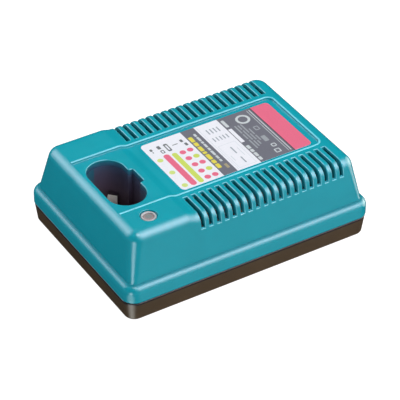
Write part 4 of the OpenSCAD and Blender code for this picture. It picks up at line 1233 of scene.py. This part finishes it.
dress(top, teal)
dress(posts, teal)
dress(bead, bead_teal_painted_highlight)
dress(fins, teal)
dress(base, dark)
rubber = plastic("foot_rubber_moulded", (0.024, 0.023, 0.022), rough=0.62, grain=0.00004, vary=0.15, wear=0.25, wear_colour=(0.07, 0.07, 0.065), grain_scale=1500.0)
gland_m = plastic("gland_rubber_moulded", (0.022, 0.021, 0.021), rough=0.5, grain=0.00003, vary=0.15, wear=0.3, wear_colour=(0.07, 0.07, 0.07), grain_scale=1800.0)
dress(feet, rubber)
dress(gland, gland_m)
ring_m = metal("ring_plastic_bright", (0.40, 0.44, 0.45), 0.42, metallic=0.1, vary=0.05, bump=0.000003)
dress(lamp_ring, ring_m)


def lens_material():
    """Frosted lens: grey centre, a warm rim where the light guide shows through."""
    m = Mat("lens_plastic_frosted")
    mp = m.nt.nodes.new("ShaderNodeMapping")
    mp.inputs["Location"].default_value = (-lx / 1000, -ly / 1000, 0.0)
    m.link(m.co, mp.inputs[0])
    sep = m.nt.nodes.new("ShaderNodeSeparateXYZ")
    m.link(mp.outputs[0], sep.inputs[0])
    d = m.math("SQRT", m.math("ADD", m.math("POWER", sep.outputs[0], 2.0), m.math("POWER", sep.outputs[1], 2.0)))
    rings = m.math("SINE", m.math("MULTIPLY", d, 14000.0))
    col = m.ramp(m.range(d, 0.0, 1.0, 0.0, 0.0038), [(0.0, srgb(132, 142, 142)), (0.55, srgb(138, 142, 142)), (0.80, srgb(168, 142, 142)), (1.0, srgb(120, 112, 114))])
    col = m.mix(m.range(m.noise(1400.0, 3.0, 0.6), 0.0, 0.2, 0.3, 0.7), col, srgb(120, 122, 126))
    m.link(col, m.b.inputs["Base Color"])
    m.link(m.range(m.noise(3000.0), 0.18, 0.30, 0.3, 0.7), m.b.inputs["Roughness"])
    m.link(m.bump(m.math("ADD", m.math("MULTIPLY", rings, 0.3), m.noise(2500.0)), 0.00001), m.b.inputs["Normal"])
    m.b.inputs["IOR"].default_value = 1.49
    return m


dress(lamp_lens, lens_material())
for k, o in contacts.items():
    dress(o, leaf)

by_slot = {
    "black_plastic": black, "zinc_screw": zinc, "tinned_brass": brass, "contact_metal": leaf, "sink_aluminium": alu, "copper_wire": copper,
    "led_epoxy": plastic("led_epoxy_cast", (0.50, 0.04, 0.03), rough=0.15, grain=0.000004, vary=0.08, wear=0.05),
    "board_green": plastic("board_green_mask", (0.05, 0.18, 0.08), rough=0.35, grain=0.00001, vary=0.15, wear=0.1),
    "board_brown": plastic("board_brown_laminate", (0.34, 0.20, 0.07), rough=0.5, grain=0.00002, vary=0.18, wear=0.2),
    "insulation": plastic("insulation_fibre", (0.52, 0.45, 0.30), rough=0.75, grain=0.00006, vary=0.2, wear=0.1, grain_scale=900.0),
    "connector_plastic": plastic("connector_plastic_moulded", (0.76, 0.76, 0.70), rough=0.4, vary=0.04),
    "fuse_glass": plastic("fuse_glass_tube", (0.70, 0.74, 0.72), rough=0.08, grain=0.000002, vary=0.04),
    "yellow_box": plastic("yellow_box_case", (0.72, 0.48, 0.04), rough=0.25, vary=0.05),
    "ferrite": plastic("ferrite_sintered", (0.05, 0.05, 0.055), rough=0.6, grain=0.00006, vary=0.2),
    "black_epoxy": plastic("black_epoxy_moulded", (0.018, 0.018, 0.02), rough=0.5, grain=0.00003, vary=0.15),
    "capacitor_sleeve": plastic("capacitor_sleeve_shrunk", (0.02, 0.03, 0.10), rough=0.22, vary=0.12),
    "winding_tape": plastic("winding_tape_polyester", (0.68, 0.46, 0.03), rough=0.3, vary=0.08),
    "relay_plastic": plastic("relay_plastic_moulded", (0.72, 0.22, 0.03), rough=0.35, vary=0.06),
    "opto_white": plastic("opto_white_moulded", (0.78, 0.78, 0.73), rough=0.45, vary=0.04),
    "resistor_body": plastic("resistor_body_lacquered", (0.52, 0.39, 0.22), rough=0.35, vary=0.15),
    "blue_disc": plastic("blue_disc_dipped", (0.04, 0.13, 0.46), rough=0.3, vary=0.12),
    "red_lead": plastic("red_lead_insulation", (0.46, 0.02, 0.02), rough=0.4, vary=0.08),
    "black_lead": plastic("black_lead_insulation", (0.02, 0.02, 0.02), rough=0.4, vary=0.12),
    "yellow_lead": plastic("yellow_lead_insulation", (0.58, 0.47, 0.03), rough=0.4, vary=0.08),
}
record = frame["record"]
node_slot = {}
for part in record.get("parts", []) or []:
    if isinstance(part, dict) and part.get("node"):
        node_slot[part["node"]] = part.get("material") or part.get("slot")
NODE_SLOTS = {
    "terminal_holder": "black_plastic", "holder_screws": "zinc_screw", "positive_terminal": "tinned_brass", "negative_terminal": "tinned_brass",
    "sense_terminal": "tinned_brass", "charge_led": "led_epoxy", "lamp_board": "board_green", "lamp_board_screw": "zinc_screw", "lamp_leads": "red_lead",
    "housing_screws": "zinc_screw", "insulation_sheet": "insulation", "circuit_board": "board_brown", "board_screws": "zinc_screw",
    "mains_connector": "connector_plastic", "fuse": "fuse_glass", "fuse_clips": "tinned_brass", "suppression_capacitor": "yellow_box",
    "line_choke_core": "ferrite", "line_choke_winding": "copper_wire", "bridge_rectifier": "black_epoxy", "primary_capacitor": "capacitor_sleeve",
    "transformer_core": "ferrite", "transformer_bobbin": "black_plastic", "transformer_winding": "winding_tape", "switching_transistor": "black_epoxy",
    "transistor_heatsink": "sink_aluminium", "output_diode": "black_epoxy", "diode_heatsink": "sink_aluminium", "heatsink_screws": "zinc_screw",
    "output_capacitors": "capacitor_sleeve", "output_relay": "relay_plastic", "control_chip": "black_epoxy", "optocoupler": "opto_white",
    "resistors": "resistor_body", "disc_capacitors": "blue_disc", "positive_lead": "red_lead", "negative_lead": "black_lead", "sense_lead": "yellow_lead",
}
for n, s in NODE_SLOTS.items():
    dress(NODES[n], by_slot[s])
dress(NODES["terminal_holder"], cup)

# ------------------------------------------------------------------ what rides on what
for o, nodes, body, s in (
    (top, ("top_housing",), "charger", "teal_plastic"), (base, ("base_housing",), "charger", "dark_plastic"), (posts, (), "charger", "teal_plastic"),
    (bead, (), "charger", "teal_plastic"), (fins, (), "charger", "teal_plastic"),
    (feet, ("rubber_feet",), "charger", "foot_rubber"), (gland, ("cord_gland",), "charger", "gland_rubber"),
    (lamp_ring, ("lamp_ring",), "charger", "ring_plastic"), (lamp_lens, ("lamp_lens",), "charger", "lens_plastic"),
    (label, ("instruction_label",), "charger", "label_film"),
    (contacts["positive_contact"], ("positive_contact",), "positive_contact", "contact_metal"),
    (contacts["negative_contact"], ("negative_contact",), "negative_contact", "contact_metal"),
    (contacts["sense_contact"], ("sense_contact",), "sense_contact", "contact_metal"),
):
    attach(o, body)
    if nodes:
        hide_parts(*nodes)

# ------------------------------------------------------------------ floor, light and camera
bpy.ops.mesh.primitive_plane_add(size=6.0, location=(0, 0, 0))
floor = bpy.context.active_object
floor.name = "floor"
fm = Mat("floor_pale")
fm.link(fm.ramp(fm.noise(3.0, 2.0), [(0.3, (0.14, 0.14, 0.14)), (0.7, (0.16, 0.16, 0.16))]), fm.b.inputs["Base Color"])
fm.b.inputs["Roughness"].default_value = 0.9
fm.b.inputs["Emission Color"].default_value = (1, 1, 1, 1)
fm.b.inputs["Emission Strength"].default_value = 1.0
dress(floor, fm)
floor.visible_glossy = False
floor.visible_diffuse = False
floor.visible_shadow = False

world = bpy.data.worlds.new("studio")
bpy.context.scene.world = world
world.use_nodes = True
world.cycles.sampling_method = "NONE"
wt = world.node_tree
bg = wt.nodes["Background"]
bg.inputs[0].default_value = (1, 1, 1, 1)
lp = wt.nodes.new("ShaderNodeLightPath")


def wmath(op, a, b):
    n = wt.nodes.new("ShaderNodeMath")
    n.operation = op
    for k, v in enumerate((a, b)):
        if isinstance(v, (int, float)):
            n.inputs[k].default_value = v
        else:
            wt.links.new(v, n.inputs[k])
    return n.outputs[0]


W_ABOVE, W_BELOW, W_GLOSSY = 0.27, 0.75, 0.01
sky = wt.nodes.new("ShaderNodeSeparateXYZ")
wt.links.new(wt.nodes.new("ShaderNodeTexCoord").outputs["Generated"], sky.inputs[0])
low = wmath("MINIMUM", wmath("MAXIMUM", wmath("ADD", wmath("MULTIPLY", sky.outputs[2], -5.0), 0.5), 0.0), 1.0)
ambient = wmath("ADD", wmath("MULTIPLY", low, W_BELOW - W_ABOVE), W_ABOVE)
seen = lp.outputs["Is Camera Ray"]
gloss = lp.outputs["Is Glossy Ray"]
rest = wmath("SUBTRACT", wmath("SUBTRACT", 1.0, seen), gloss)
s = wmath("ADD", seen, wmath("ADD", wmath("MULTIPLY", gloss, W_GLOSSY), wmath("MULTIPLY", wmath("MAXIMUM", rest, 0.0), ambient)))
wt.links.new(s, bg.inputs[1])

AIM = Vector((0.0, 0.0, 0.035))


def area(name, direction, dist, size, level_, up=(0, 0, 1), diffuse=True, glossy=True, aim=AIM, colour=(1, 1, 1)):
    """Softbox seen from the aim point in that direction. level_ is its radiance when glossy only, or what it gives a facing white card."""
    d = Vector(direction).normalized()
    L = bpy.data.lights.new(name, "AREA")
    L.shape = "RECTANGLE"
    L.size, L.size_y = size
    A = size[0] * size[1]
    L.energy = level_ * math.pi * A if not diffuse else level_ * math.pi ** 2 * dist * dist
    L.color = colour
    o = bpy.data.objects.new(name, L)
    bpy.context.scene.collection.objects.link(o)
    pos = aim + d * dist
    z = d
    y = (Vector(up) - z * z.dot(Vector(up))).normalized()
    x = y.cross(z)
    o.matrix_world = Matrix(((x.x, y.x, z.x, pos.x), (x.y, y.y, z.y, pos.y), (x.z, y.z, z.z, pos.z), (0, 0, 0, 1)))
    o.visible_camera = False
    o.visible_diffuse = diffuse
    o.visible_glossy = glossy
    return o


def glow(name, direction, rings, level_, colour=(1.03, 0.84, 0.93)):
    """Soft far light seen only in reflections: nested discs add up to a bell. rings: (angular radius in degrees, share)."""
    d = Vector(direction).normalized()
    for k, (r, share) in enumerate(rings):
        L = bpy.data.lights.new("%s_%d" % (name, k), "SUN")
        L.angle = math.radians(2 * r)
        L.energy = level_ * share * math.pi * math.sin(math.radians(r)) ** 2
        L.color = colour
        o = bpy.data.objects.new("%s_%d" % (name, k), L)
        bpy.context.scene.collection.objects.link(o)
        o.rotation_mode = "QUATERNION"
        o.rotation_quaternion = d.to_track_quat("Z", "Y")
        o.visible_camera = False
        o.visible_diffuse = False


area("top_fill", (0.05, 0.52, 0.85), 1.5, (1.2, 1.2), 0.62, up=(0, 1, 0), glossy=False)
area("front_fill", (0.15, -0.56, 0.81), 1.4, (0.6, 0.6), 0.40, up=(0, 1, 0), glossy=False)
area("near_fill", (0.3, -0.95, 0.05), 1.3, (0.8, 0.8), 0.13, glossy=False, colour=(0.86, 1.0, 1.14))
area("left_fill", (-0.95, 0.2, 0.05), 1.3, (0.8, 0.8), 0.115, glossy=False, colour=(0.7, 0.9, 1.2))
glow("soft_front", (0.417, -0.521, 0.745), [(9, 0.17), (19, 0.30), (30, 0.29), (42, 0.22)], 11.5)
glow("soft_back_left", (-0.460, 0.677, 0.575), [(8, 0.26), (19, 0.42), (32, 0.32)], 6.9)
glow("level_corner", (-0.74, -0.60, -0.24), [(10, 0.6), (17, 0.4)], 8.0, colour=(0.98, 0.93, 0.98))
glow("under_corner", (-0.52, -0.34, -0.78), [(11, 0.55), (21, 0.45)], 5.5, colour=(0.97, 1.0, 0.96))
glow("corner_glint", (-0.09, -0.33, 0.94), [(10, 1.0)], 16.0, colour=(1.0, 0.97, 1.03))
glow("soft_right", (0.98, -0.08, 0.12), [(14, 0.5), (30, 0.5)], 9.0, colour=(1.0, 0.96, 0.86))
glow("low_front", (0.417, -0.84, -0.345), [(24, 0.9)], 0.55, colour=(1.0, 0.95, 0.95))

cam_d = bpy.data.cameras.new("camera")
cam = bpy.data.objects.new("camera", cam_d)
bpy.context.scene.collection.objects.link(cam)
bpy.context.scene.camera = cam
az, el, roll, dist = math.radians(-31.67), math.radians(37.35), math.radians(0.385), 1.4569
target = Vector((0.00053, 0.00002, 0.02123))
back = Vector((math.sin(az) * math.cos(el), -math.cos(az) * math.cos(el), math.sin(el)))
right = Vector((math.cos(az), math.sin(az), 0))
up = back.cross(right)
R = right * math.cos(roll) + up * math.sin(roll)
U = up * math.cos(roll) - right * math.sin(roll)
pos = target + back * dist
cam.matrix_world = Matrix(((R.x, U.x, back.x, pos.x), (R.y, U.y, back.y, pos.y), (R.z, U.z, back.z, pos.z), (0, 0, 0, 1)))
cam_d.sensor_width = 36.0
cam_d.lens = 2136.6 * 36.0 / 400.0
cam_d.clip_start, cam_d.clip_end = 0.05, 20.0

view = bpy.context.scene.view_settings
view.view_transform = "Standard"
view.look = "None"
view.exposure = 0.0
view.gamma = 1.0
